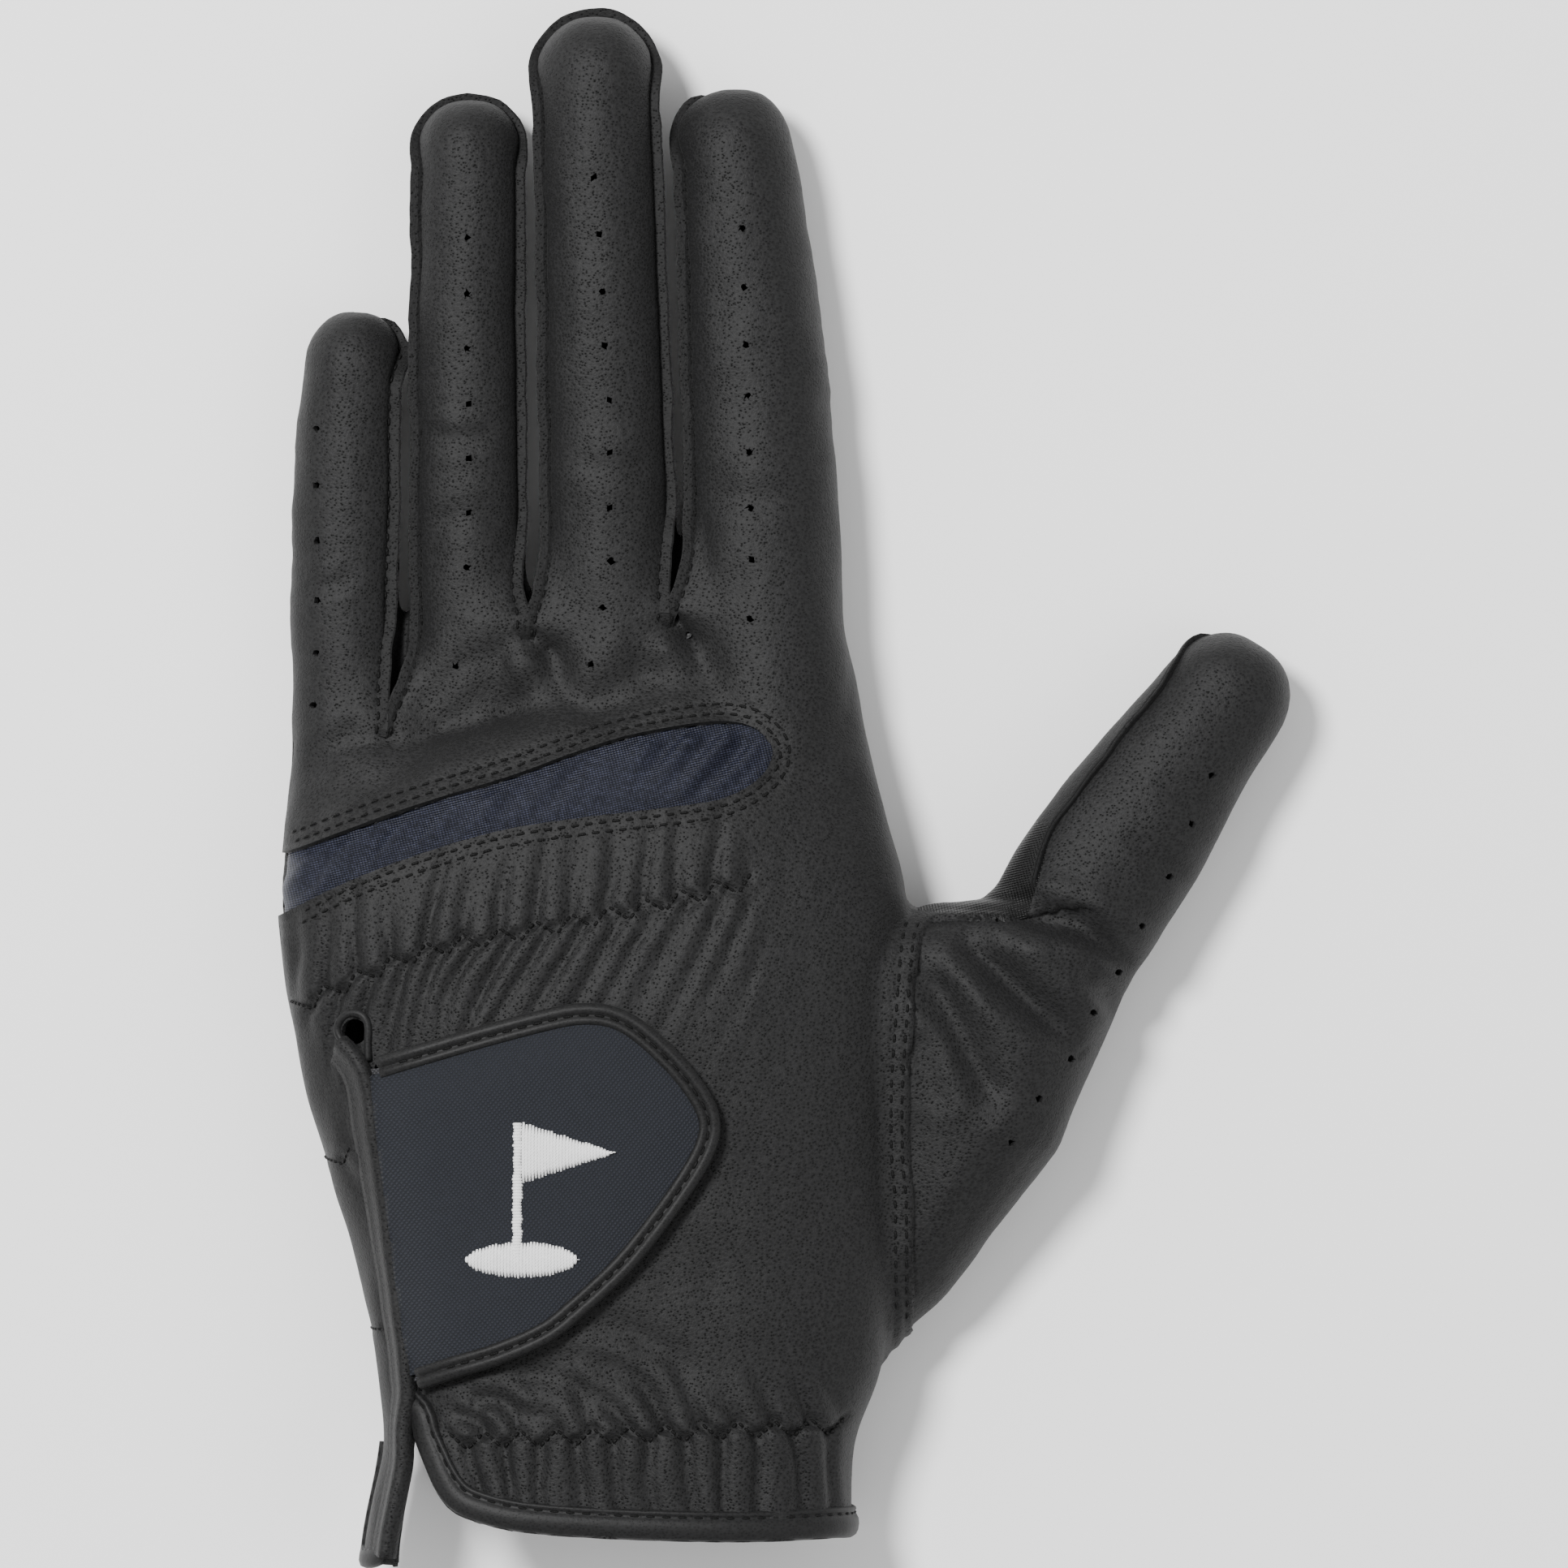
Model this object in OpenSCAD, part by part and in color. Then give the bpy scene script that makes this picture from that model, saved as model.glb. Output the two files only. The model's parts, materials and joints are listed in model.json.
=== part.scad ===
// Golf glove for the left hand, in the shape of the hand inside it, lying palm down.
// X runs across the hand towards the thumb, Y from the cuff to the fingertips, and Z out of
// the back of the hand. The origin is under the middle of the glove, on the surface it lies on.

/* [Leather] */
// Thickness of the leather
wall = 1.1; // [0.8:0.1:1.4]
// Width of the folded binding round the cuff
cuff_binding_w = 3.4; // [2.5:0.1:4.5]
// Width of the binding round the closure tab
tab_binding_w = 3; // [2:0.1:4]

/* [Hand] */
// Height of the seam that joins palm and back
side_seam_z = 9; // [7:0.5:11]
// How square the hand's section is, where 2 is an ellipse
squareness = 2.6; // [2:0.1:3.2]

/* [Fingers: index, middle, ring, little] */
// Root joint of each finger, across the hand
finger_x = [-3, -24, -43.3, -60.6]; // [-70:0.1:10]
// Root joint of each finger, along the hand
finger_y = [27, 30, 24, 12]; // [5:0.5:35]
// Lean of each finger away from the thumb
finger_lean = [4.1, 1.85, 0.63, -1.6]; // [-4:0.1:6]
// Length from the root joint to the centre of the fingertip
finger_length = [61.4, 68.3, 63.4, 46.6]; // [40:0.1:75]
// Radius at the root joint
finger_root_r = [10.5, 9.6, 8.2, 7.6]; // [7:0.1:11]
// Radius at the tip
finger_tip_r = [8.3, 9.2, 8, 7.3]; // [7:0.1:10]
// Distance from the root joint to the middle joint
finger_middle = [27, 31, 28, 21]; // [18:0.5:34]

/* [Thumb] */
// Root joint of the thumb, across and along the hand
thumb_root = [37.4, -22.4]; // [-40:0.1:45]
// Lean of the thumb away from the fingers
thumb_lean = 34.7; // [25:0.1:45]
// Length from the root joint to the centre of the thumb's tip
thumb_length = 42; // [38:0.1:48]
// Radius at the root joint and at the tip
thumb_r = [10.6, 8.7]; // [8:0.1:12]
// Distance from the root joint to the thumb's end joint
thumb_middle = 21; // [16:0.5:24]

/* [Joints] */
// Bend of a finger at its root joint
root_bend = 60; // [30:5:70]
// Bend of a finger at its middle joint
middle_bend = 80; // [40:5:90]
// Bend of the thumb at its two joints
thumb_bend = [40, 60]; // [20:5:60]

/* [Hidden] */

$fn = 40;
joint_gap = 0.2;         // half the gap at a joint, above its axis
notch_spare = 2;         // spare angle on each side of a joint's palm-side notch
axis_drop = 0.35;        // a joint's axis below the finger's middle, as a share of its radius
seam_up = 25;            // a fourchette's upper seam above the finger's widest line, in degrees
seam_down = 35;          // and its lower seam below it
little_seam_up = 47;      // the little finger's, which sits higher
thumb_gusset_angles = [155, 215];
thumb_gusset_y = 13;      // how far up the thumb its gusset runs
stub_length = 22;        // how far a finger's tube runs back into the hand
far = 100;               // past everything a cutter has to reach

// Index of each digit in the tables below
INDEX = 0;
MIDDLE = 1;
RING = 2;
LITTLE = 3;
THUMB = 4;
digit_at = concat([for (i = [0 : 3]) [finger_x[i], finger_y[i]]], [thumb_root]);
digit_lean = concat(finger_lean, [-thumb_lean]);
digit_length = concat(finger_length, [thumb_length]);
digit_r = concat([for (i = [0 : 3]) [finger_root_r[i], finger_tip_r[i]]], [thumb_r]);
digit_middle = concat(finger_middle, [thumb_middle]);
digit_bend = concat([for (i = [0 : 3]) [root_bend, middle_bend]], [thumb_bend]);

// Sections of the hand: left edge x and y, right edge x and y, height. Past the knuckles they
// slant as the row of finger roots does.
sections = [
    [-45, -104.2, 9.4, -104.2, 29.5],
    [-50.6, -89.6, 9.9, -89.6, 29],
    [-55, -81, 13.3, -81, 29],
    [-58, -66.6, 15.5, -66.6, 29],
    [-63.4, -51, 16, -51, 29.5],
    [-67.6, -36.4, 17.2, -36.4, 30],
    [-69.8, -18.5, 18.3, -18.5, 29],
    [-69, -5, 14.5, -2, 26.5],
    [-68, 3, 11.5, 12, 22.5],
    [-67.6, 6.5, 10, 19, 18.5]
];
widest_share = 0.42;     // height of the widest line, as a share of the section's height
flat_share = 1.12;       // over 1 gives the palm its flat
section_steps = 2;
section_points = 56;

// Thumb base: balls of leather from the web down to the wrist, each x, y and radius
thumb_base_balls = [[10, -29, 11.5], [29, -45, 11], [15.5, -67, 9.5], [6, -55, 9]];
thumb_seam = [[15.5, -85], [15.4, -68], [14.8, -46], [15.5, -31], [17.3, -19], [17.3, 0]];

// The slit in the back and the line that the closure tab turns on
tab_hinge_a = [-56.6, -37.4, 27.6];
tab_hinge_b = [-50.2, -82, 25.6];
tab_hinge_a_xy = [tab_hinge_a[0], tab_hinge_a[1]];
tab_hinge_b_xy = [tab_hinge_b[0], tab_hinge_b[1]];
slit_w = 4;
slit_loop_at = [-58.9, -34];
slit_loop_r = 2.4;

// Outlines from above, each a smooth closed curve through a few points
insert_points = [
    [-68.5, -9.3], [-53.7, -4], [-37, 1.2], [-23, 6.2], [-9, 8.6], [-3.2, 7],
    [-1.8, 3.6], [-5.5, -0.6], [-18, -3.5], [-39.5, -6.5], [-54, -11.2], [-69.4, -17.8]
];
tab_points = [
    [-56.6, -37.4], [-42, -33.3], [-27.3, -30.1], [-18.8, -32.8], [-11.8, -40], [-8.9, -46.5],
    [-11.6, -54], [-20.9, -67], [-31.6, -76.4], [-42, -80.6], [-50.2, -83]
];
flap_points = [[-55.3, -79], [-55.3, -86], [-57, -93], [-58.6, -101], [-57.6, -107.6]];
flap_t = 1.6;
flap_z = [side_seam_z, 23];

// Layers over the back of the hand, each as [inner, outer] height above the leather
slit_binding_layer = [0, 0.8];
loop_layer = [0, 0.9];
hook_layer = [1.3, 2.1];
lining_layer = [2.1, 2.7];
fabric_layer = [2.7, 3.5];
tab_binding_layer = [1.9, 3.8];
emblem_layer = [3.5, 4.1];
elastic_t = 0.9;
elastic_w = 5;

// Colours
leather = [0.12, 0.12, 0.13];
leather_side = [0.2, 0.2, 0.21];
textile = [0.13, 0.14, 0.18];
knit = [0.08, 0.09, 0.13];
nylon = [0.16, 0.16, 0.17];
emblem_white = [0.9, 0.9, 0.9];

function mix(a, b, t) = a + (b - a) * t;

// Point at share t between b and c on the smooth curve through a, b, c and d
function through(a, b, c, d, t) =
    b + (c - a) * t / 2 + (a * 2 - b * 5 + c * 4 - d) * t * t / 2
    + (b * 3 - a - c * 3 + d) * t * t * t / 2;

// Smooth closed outline through a few points
function outline(p, steps = 5) = [
    for (i = [0 : len(p) - 1], k = [0 : steps - 1])
        through(p[(i + len(p) - 1) % len(p)], p[i], p[(i + 1) % len(p)], p[(i + 2) % len(p)],
                k / steps)
];

// Smooth open curve through a few points
function curve(p, steps = 5) = concat([
    for (i = [0 : len(p) - 2], k = [0 : steps - 1])
        through(p[max(i - 1, 0)], p[i], p[i + 1], p[min(i + 2, len(p) - 1)], k / steps)
], [p[len(p) - 1]]);

// Sections with extra ones between them on a smooth curve
fine_sections = curve(sections, section_steps);
last_section = len(fine_sections) - 1;

function power(v, p) = sign(v) * pow(abs(v), p);

// One ring of the hand's surface, grown outwards by grow
function ring(s, grow) =
    let (mid_z = widest_share * s[4], half_w = (s[2] - s[0]) / 2 + grow)
    [
        for (i = [0 : section_points - 1])
            let (
                a = 360 * i / section_points,
                across = power(cos(a), 2 / squareness),
                up = power(sin(a), 2 / squareness),
                x = (s[0] + s[2]) / 2 + half_w * across,
                y = mix(s[1], s[3], (x - s[0]) / (s[2] - s[0])),
                z = up > 0 ? mid_z + (s[4] + grow - mid_z) * up
                    : mid_z + (mid_z + grow) * max(flat_share * up, -1)
            )
            [x, y, z]
    ];

// A closed solid through rings of equally many points
module loft(rings) {
    n = len(rings[0]);
    last = len(rings) - 1;
    polyhedron(
        points = [for (r = rings) for (p = r) p],
        faces = concat(
            [[for (i = [n - 1 : -1 : 0]) i]],
            [[for (i = [0 : n - 1]) last * n + i]],
            [for (j = [0 : last - 1], i = [0 : n - 1])
                [j * n + i, (j + 1) * n + (i + 1) % n, (j + 1) * n + i]],
            [for (j = [0 : last - 1], i = [0 : n - 1])
                [j * n + i, j * n + (i + 1) % n, (j + 1) * n + (i + 1) % n]]
        )
    );
}

// The hand without its digits. Its inside is open at the cuff and at the finger roots.
module hand_loft(grow, open_ends = false) {
    first = fine_sections[0] - [0, 2, 0, 2, 0];
    last = fine_sections[last_section] - (open_ends ? [0, wall, 0, wall, 0] : [0, 0, 0, 0, 0]);
    loft(concat(
        open_ends ? [ring(first, grow)] : [],
        [for (i = [0 : last_section - 1]) ring(fine_sections[i], grow)],
        [ring(last, grow)]
    ));
}

// A layer that follows the back of the hand
module layer(heights) {
    difference() {
        hand_loft(heights[1]);
        hand_loft(heights[0], true);
    }
}

// Puts children in a digit's own frame: its root joint at the origin, Y along it, Z up
module on_digit(d) {
    r = digit_r[d];
    tilt = asin((r[0] - r[1]) / digit_length[d]);
    translate([digit_at[d][0], digit_at[d][1], r[0]])
        rotate([0, 0, digit_lean[d]])
        rotate([-tilt, 0, 0])
        children();
}

function digit_radius(d, y) = mix(digit_r[d][0], digit_r[d][1], y / digit_length[d]);

// Half section of a digit's tube, from y back to its tip, grown outwards by grow
function digit_profile(d, y, grow) = concat(
    [[digit_radius(d, y) + grow, y]],
    [for (a = [0 : 15 : 75])
        [(digit_r[d][1] + grow) * cos(a), digit_length[d] + (digit_r[d][1] + grow) * sin(a)]],
    [[0, digit_length[d] + digit_r[d][1] + grow]]
);

// A digit's leather tube with its closed tip
module digit_tube(d) {
    inner = digit_profile(d, -1, -wall);
    rotate([-90, 0, 0])
        rotate_extrude()
        polygon(concat(
            digit_profile(d, -1, 0),
            [for (i = [len(inner) - 1 : -1 : 0]) inner[i]]
        ));
}

// Solid stub of a digit inside the hand, ending a little past its root joint
module digit_stub(d, grow) {
    back = d == THUMB ? 3 : stub_length;
    on_digit(d)
        rotate([-90, 0, 0])
        translate([0, 0, -back])
        cylinder(h = back + 1, r1 = digit_radius(d, -back) + grow, r2 = digit_radius(d, 1) + grow);
}

// Extrudes a side view, drawn with Y across and Z up, to both sides of X = 0
module side_view(w) {
    rotate([90, 0, 90])
        linear_extrude(height = w, center = true)
        children();
}

// Extrudes a front view, drawn with X across and Z up, along Y
module front_view(y0, y1) {
    translate([0, y1, 0])
        rotate([90, 0, 0])
        linear_extrude(height = y1 - y0)
        children();
}

// How far a joint's notch opens at depth z below its axis
function notch(d, joint, z) =
    (z - axis_drop * digit_r[d][0]) * tan(digit_bend[d][joint] / 2 + notch_spare);

// What the hand gives up to a digit in front of its root joint
module past_root(d) {
    depth = digit_r[d][0] + 1;
    drop = axis_drop * digit_r[d][0];
    on_digit(d)
        side_view(2 * digit_r[d][0] + 0.7)
        polygon([
            [-joint_gap, depth], [-joint_gap, -drop], [-joint_gap - notch(d, 0, depth), -depth],
            [stub_length, -depth], [stub_length, depth]
        ]);
}

// Side view of a digit's lower or upper part between its joints
module part_window(d, part) {
    depth = digit_r[d][0] + 1;
    drop = axis_drop * digit_r[d][0];
    m = digit_middle[d];
    end = digit_length[d] + depth;
    if (part == 0) {
        polygon([
            [joint_gap, depth], [joint_gap, -drop], [joint_gap + notch(d, 0, depth), -depth],
            [m - joint_gap - notch(d, 1, depth), -depth], [m - joint_gap, -drop],
            [m - joint_gap, depth]
        ]);
    } else {
        polygon([
            [m + joint_gap, depth], [m + joint_gap, -drop],
            [m + joint_gap + notch(d, 1, depth), -depth], [end, -depth], [end, depth]
        ]);
    }
}

// Front view of the wedge between two angles round a digit, from the thumb's side over the back
module wedge(a0, a1) {
    steps = ceil((a1 - a0) / 30);
    polygon(concat(
        [[0, 0]],
        [for (i = [0 : steps]) let (a = mix(a0, a1, i / steps)) 20 * [cos(a), sin(a)]]
    ));
}

// Part of a digit's tube: 0 is its lower part and 1 its upper one, between two angles
module digit_part(d, part, a0, a1) {
    end = digit_length[d] + digit_r[d][0] + 2;
    on_digit(d)
        intersection() {
            digit_tube(d);
            side_view(60) part_window(d, part);
            front_view(-2, end) wedge(a0, a1);
        }
}

// The hand's form with the digits' stubs and the thumb's base
module hand_form(grow) {
    hand_loft(grow, grow < 0);
    for (d = [INDEX : LITTLE]) {
        digit_stub(d, grow);
    }
    hull() {
        digit_stub(THUMB, grow);
        for (b = thumb_base_balls) {
            translate([b[0], b[1], b[2]])
                sphere(r = b[2] + grow, $fn = 32);
        }
    }
}

// The hand's leather before it is cut into panels
module hand_shell() {
    difference() {
        hand_form(0);
        hand_form(-wall);
        for (d = [INDEX : THUMB]) {
            past_root(d);
        }
    }
}

// Meshes a soft panel in one piece
module soft() {
    resize([0, 0, 0])
        children();
}

// Extrudes a plan view between two heights
module plan(z0 = -1, z1 = 50) {
    translate([0, 0, z0])
        linear_extrude(height = z1 - z0)
        children();
}

module above_seam() {
    translate([-far, -1.2 * far, side_seam_z])
        cube([2 * far, 2.2 * far, far]);
}

module insert_outline() {
    polygon(outline(insert_points));
}

// Everything on the little-finger side of the slit
module slit_side() {
    polygon([[-far, slit_loop_at[1]], slit_loop_at, tab_hinge_a_xy, tab_hinge_b_xy,
             [-50.9, -90], [-50.9, -120], [-far, -120]]);
}

// The open slit: a loop at its upper end, then a narrow gap down to the cuff's corner
module slit_outline() {
    translate(slit_loop_at)
        circle(r = slit_loop_r);
    polygon([
        [slit_loop_at[0] + 1, slit_loop_at[1] - slit_loop_r + 0.5], tab_hinge_a_xy,
        tab_hinge_b_xy, [-50.9, -90], [-48.5, -83],
        tab_hinge_b_xy + [slit_w, 6], tab_hinge_a_xy + [slit_w, -2],
        [slit_loop_at[0] + slit_loop_r, slit_loop_at[1]]
    ]);
}

// Narrow band in plan along a line of points
module band(points, w) {
    for (i = [0 : len(points) - 2]) {
        hull() {
            translate(points[i]) circle(d = w, $fn = 8);
            translate(points[i + 1]) circle(d = w, $fn = 8);
        }
    }
}

// Where the strips between two fingers cross from one finger to the next inside the hand
module crotch_zones() {
    for (c = [[-57, -48.2, 2], [-39.2, -30.6, 10], [-18.2, -9.8, 10]]) {
        translate([c[0], c[2], 4.5])
            cube([c[1] - c[0], 32, 9.5]);
    }
}

// The thumb's base, on the thumb's side of its inset seam
module thumb_side() {
    polygon(concat(thumb_seam, [[far, 0], [far, -85]]));
}

module web_zone() {
    polygon([[18.2, -10], [18.2, -25], [24.5, -27.5], [31, -25], [31, -10]]);
}

// The strip of the hand that the cuff's binding covers
module cuff_zone() {
    translate([-60, -104.3, side_seam_z])
        cube([80, cuff_binding_w + 0.1, 40]);
}

// The tab from above, before it is cut off at the line that it turns on
module tab_form(inset) {
    offset(delta = -inset)
        polygon(concat([tab_hinge_a_xy - [9, 0]], curve(tab_points), [tab_hinge_b_xy - [9, 0]]));
}

// Everything on the thumb's side of the line that the tab turns on
module past_tab_hinge() {
    along = (tab_hinge_b_xy - tab_hinge_a_xy) / norm(tab_hinge_b_xy - tab_hinge_a_xy);
    across = [-along[1], along[0]];
    top = tab_hinge_a_xy + joint_gap * across - 20 * along;
    bottom = tab_hinge_b_xy + joint_gap * across + 20 * along;
    polygon([top, bottom, bottom + far * across, top + far * across]);
}

module tab_outline(inset = 0) {
    intersection() {
        tab_form(inset);
        past_tab_hinge();
    }
}

module back_panel() {
    color(leather)
        soft()
        difference() {
            intersection() {
                hand_shell();
                above_seam();
            }
            plan(side_seam_z - 1) insert_outline();
            plan() slit_outline();
            plan() slit_side();
            plan() thumb_side();
            crotch_zones();
            cuff_zone();
        }
}

module palm_panel() {
    color(leather)
        soft()
        difference() {
            hand_shell();
            above_seam();
            plan() thumb_side();
            crotch_zones();
            translate([-70, -110, -1])
                cube([19.4, 22, 40]);
        }
}

// The leather on the little finger's side of the slit, with the flap that hangs past the cuff
module side_panel() {
    color(leather)
        soft() {
            intersection() {
                hand_shell();
                above_seam();
                difference() {
                    plan() slit_side();
                    plan() slit_outline();
                }
            }
            plan(flap_z[0], flap_z[1])
                polygon(concat(curve(flap_points), [
                    for (i = [len(flap_points) - 1 : -1 : 0]) flap_points[i] + [flap_t, 0]
                ]));
        }
}

module thumb_base_panel() {
    color(leather_side)
        soft()
        difference() {
            intersection() {
                hand_shell();
                plan() thumb_side();
            }
            plan() web_zone();
        }
}

module thumb_web_gusset() {
    color(textile)
        soft()
        intersection() {
            hand_shell();
            plan() thumb_side();
            plan() web_zone();
        }
}

module fourchette_roots() {
    color(leather_side)
        soft()
        intersection() {
            hand_shell();
            crotch_zones();
        }
}

// Stretch panel across the knuckles
module knuckle_insert() {
    color(knit)
        soft()
        intersection() {
            hand_shell();
            plan(side_seam_z - 1) insert_outline();
            above_seam();
        }
}

// An elastic band sewn inside the leather
module inner_elastic(points, z0, z1) {
    color(nylon)
        soft()
        intersection() {
            layer([-wall - elastic_t, -wall]);
            plan(z0, z1) band(points, elastic_w);
        }
}

module knuckle_elastic() {
    inner_elastic([[-64, -28.6], [-50, -25.5], [-27, -19.5], [-5, -13.2]], 15, 40);
}

module wrist_elastic() {
    inner_elastic([[-42, -89.4], [6, -87.6]], 15, 40);
}

module palm_elastics() {
    inner_elastic([[-58, -51], [-20, -51]], 0, 6);
    inner_elastic([[-50, -74], [-14, -74]], 0, 6);
}

module cuff_binding() {
    color(leather)
        soft()
        intersection() {
            layer([-wall - 0.6, 0.6]);
            difference() {
                cuff_zone();
                plan() slit_side();
            }
        }
}

// Narrow rim round the slit, laid on the leather beside it
module slit_binding() {
    color(leather_side)
        soft()
        intersection() {
            layer(slit_binding_layer);
            plan(side_seam_z)
                difference() {
                    offset(r = 1.6) slit_outline();
                    slit_outline();
                    translate([-56, -100]) square([20, 19]);
                    translate([tab_hinge_a[0] + 1.4, -82]) square([20, 43]);
                }
        }
}

// The sewn end of the tab, inside the little finger's side of the slit
module tab_root_strip() {
    color(textile)
        soft()
        intersection() {
            layer([-wall - 0.9, -wall]);
            plan(10)
                polygon([
                    tab_hinge_a_xy - [0, 1], tab_hinge_b_xy + [0, 3],
                    tab_hinge_b_xy + [-4, 5], tab_hinge_a_xy + [-6, -5]
                ]);
        }
}

module loop_patch() {
    color(nylon)
        soft()
        intersection() {
            layer(loop_layer);
            plan(20) offset(r = 3) offset(r = -3) tab_outline_right(5);
        }
}

// The half of the tab that its hook and loop patches take up
module tab_outline_right(inset) {
    intersection() {
        tab_outline(inset);
        translate([-42, -80]) square([40, 50]);
    }
}

module hook_patch() {
    color(nylon)
        soft()
        intersection() {
            layer(hook_layer);
            plan(20) offset(r = 3) offset(r = -3) tab_outline_right(6);
        }
}

module tab_lining() {
    color(leather_side)
        soft()
        intersection() {
            layer(lining_layer);
            plan(15) tab_outline(tab_binding_w);
        }
}

module tab_fabric() {
    color(textile)
        soft()
        intersection() {
            layer(fabric_layer);
            plan(15) tab_outline(tab_binding_w);
        }
}

module tab_binding() {
    color(leather)
        soft()
        intersection() {
            layer(tab_binding_layer);
            plan(15)
                difference() {
                    tab_outline();
                    tab_form(tab_binding_w);
                }
        }
}

// A plain embroidered pin and flag
module tab_emblem() {
    color(emblem_white)
        soft()
        intersection() {
            layer(emblem_layer);
            plan(15) {
                translate([-37, -65]) square([1.5, 19]);
                translate([-35.6, -46]) polygon([[0, 0], [13.1, -4.3], [0, -8.6]]);
                translate([-35.5, -65]) scale([1, 0.35]) circle(r = 7.5);
            }
        }
}

// A finger whose leather wraps round one side and meets its fourchette on the other
module wrapped_sleeve(d, part, seam_at, up, down) {
    color(leather)
        digit_part(d, part, seam_at == 180 ? 180 + down : up, seam_at == 180 ? 540 - up : 360 - down);
}

module one_fourchette(d, part, seam_at, up, down) {
    color(leather_side)
        digit_part(d, part, seam_at == 180 ? 180 - up : -down, seam_at == 180 ? 180 + down : up);
}

module index_sleeve_lower() { wrapped_sleeve(INDEX, 0, 180, seam_up, seam_down); }
module index_sleeve_upper() { wrapped_sleeve(INDEX, 1, 180, seam_up, seam_down); }
module index_fourchette_lower() { one_fourchette(INDEX, 0, 180, seam_up, seam_down); }
module index_fourchette_upper() { one_fourchette(INDEX, 1, 180, seam_up, seam_down); }

module little_sleeve_lower() { wrapped_sleeve(LITTLE, 0, 0, little_seam_up, seam_down); }
module little_sleeve_upper() { wrapped_sleeve(LITTLE, 1, 0, little_seam_up, seam_down); }
module little_fourchette_lower() { one_fourchette(LITTLE, 0, 0, little_seam_up, seam_down); }
module little_fourchette_upper() { one_fourchette(LITTLE, 1, 0, little_seam_up, seam_down); }

// The three kinds of strip that a finger between two others is sewn from
module finger_back(d, part) {
    color(leather) digit_part(d, part, seam_up, 180 - seam_up);
}

module finger_palm(d, part) {
    color(leather) digit_part(d, part, 180 + seam_down, 360 - seam_down);
}

module finger_fourchettes(d, part) {
    one_fourchette(d, part, 0, seam_up, seam_down);
    one_fourchette(d, part, 180, seam_up, seam_down);
}

module middle_back_lower() { finger_back(MIDDLE, 0); }
module middle_back_upper() { finger_back(MIDDLE, 1); }
module middle_palm_lower() { finger_palm(MIDDLE, 0); }
module middle_palm_upper() { finger_palm(MIDDLE, 1); }
module middle_fourchettes_lower() { finger_fourchettes(MIDDLE, 0); }
module middle_fourchettes_upper() { finger_fourchettes(MIDDLE, 1); }
module ring_back_lower() { finger_back(RING, 0); }
module ring_back_upper() { finger_back(RING, 1); }
module ring_palm_lower() { finger_palm(RING, 0); }
module ring_palm_upper() { finger_palm(RING, 1); }
module ring_fourchettes_lower() { finger_fourchettes(RING, 0); }
module ring_fourchettes_upper() { finger_fourchettes(RING, 1); }

// The thumb's gusset runs a little way up its inner side

module thumb_gusset_block() {
    on_digit(THUMB)
        front_view(-2, thumb_gusset_y) wedge(thumb_gusset_angles[0], thumb_gusset_angles[1]);
}

module thumb_sleeve_lower() {
    color(leather)
        difference() {
            digit_part(THUMB, 0, 0, 360);
            thumb_gusset_block();
        }
}

module thumb_gusset_lower() {
    color(textile)
        intersection() {
            digit_part(THUMB, 0, thumb_gusset_angles[0], thumb_gusset_angles[1]);
            thumb_gusset_block();
        }
}

module thumb_sleeve_upper() {
    color(leather)
        digit_part(THUMB, 1, 0, 360);
}

back_panel();
palm_panel();
side_panel();
thumb_base_panel();
thumb_web_gusset();
fourchette_roots();
knuckle_insert();
knuckle_elastic();
wrist_elastic();
palm_elastics();
cuff_binding();
slit_binding();
tab_root_strip();
loop_patch();
tab_fabric();
tab_lining();
tab_binding();
hook_patch();
tab_emblem();
index_sleeve_lower();
index_sleeve_upper();
index_fourchette_lower();
index_fourchette_upper();
middle_back_lower();
middle_back_upper();
middle_palm_lower();
middle_palm_upper();
middle_fourchettes_lower();
middle_fourchettes_upper();
ring_back_lower();
ring_back_upper();
ring_palm_lower();
ring_palm_upper();
ring_fourchettes_lower();
ring_fourchettes_upper();
little_sleeve_lower();
little_sleeve_upper();
little_fourchette_lower();
little_fourchette_upper();
thumb_sleeve_lower();
thumb_sleeve_upper();
thumb_gusset_lower();
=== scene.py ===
"""Looks of the golf glove: leather panels cut from one skin, knit, textile tab, bindings and stitching.

The skin is modelled in millimetres in the row frame and turned to metres as each piece is made."""
import json
import math

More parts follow.
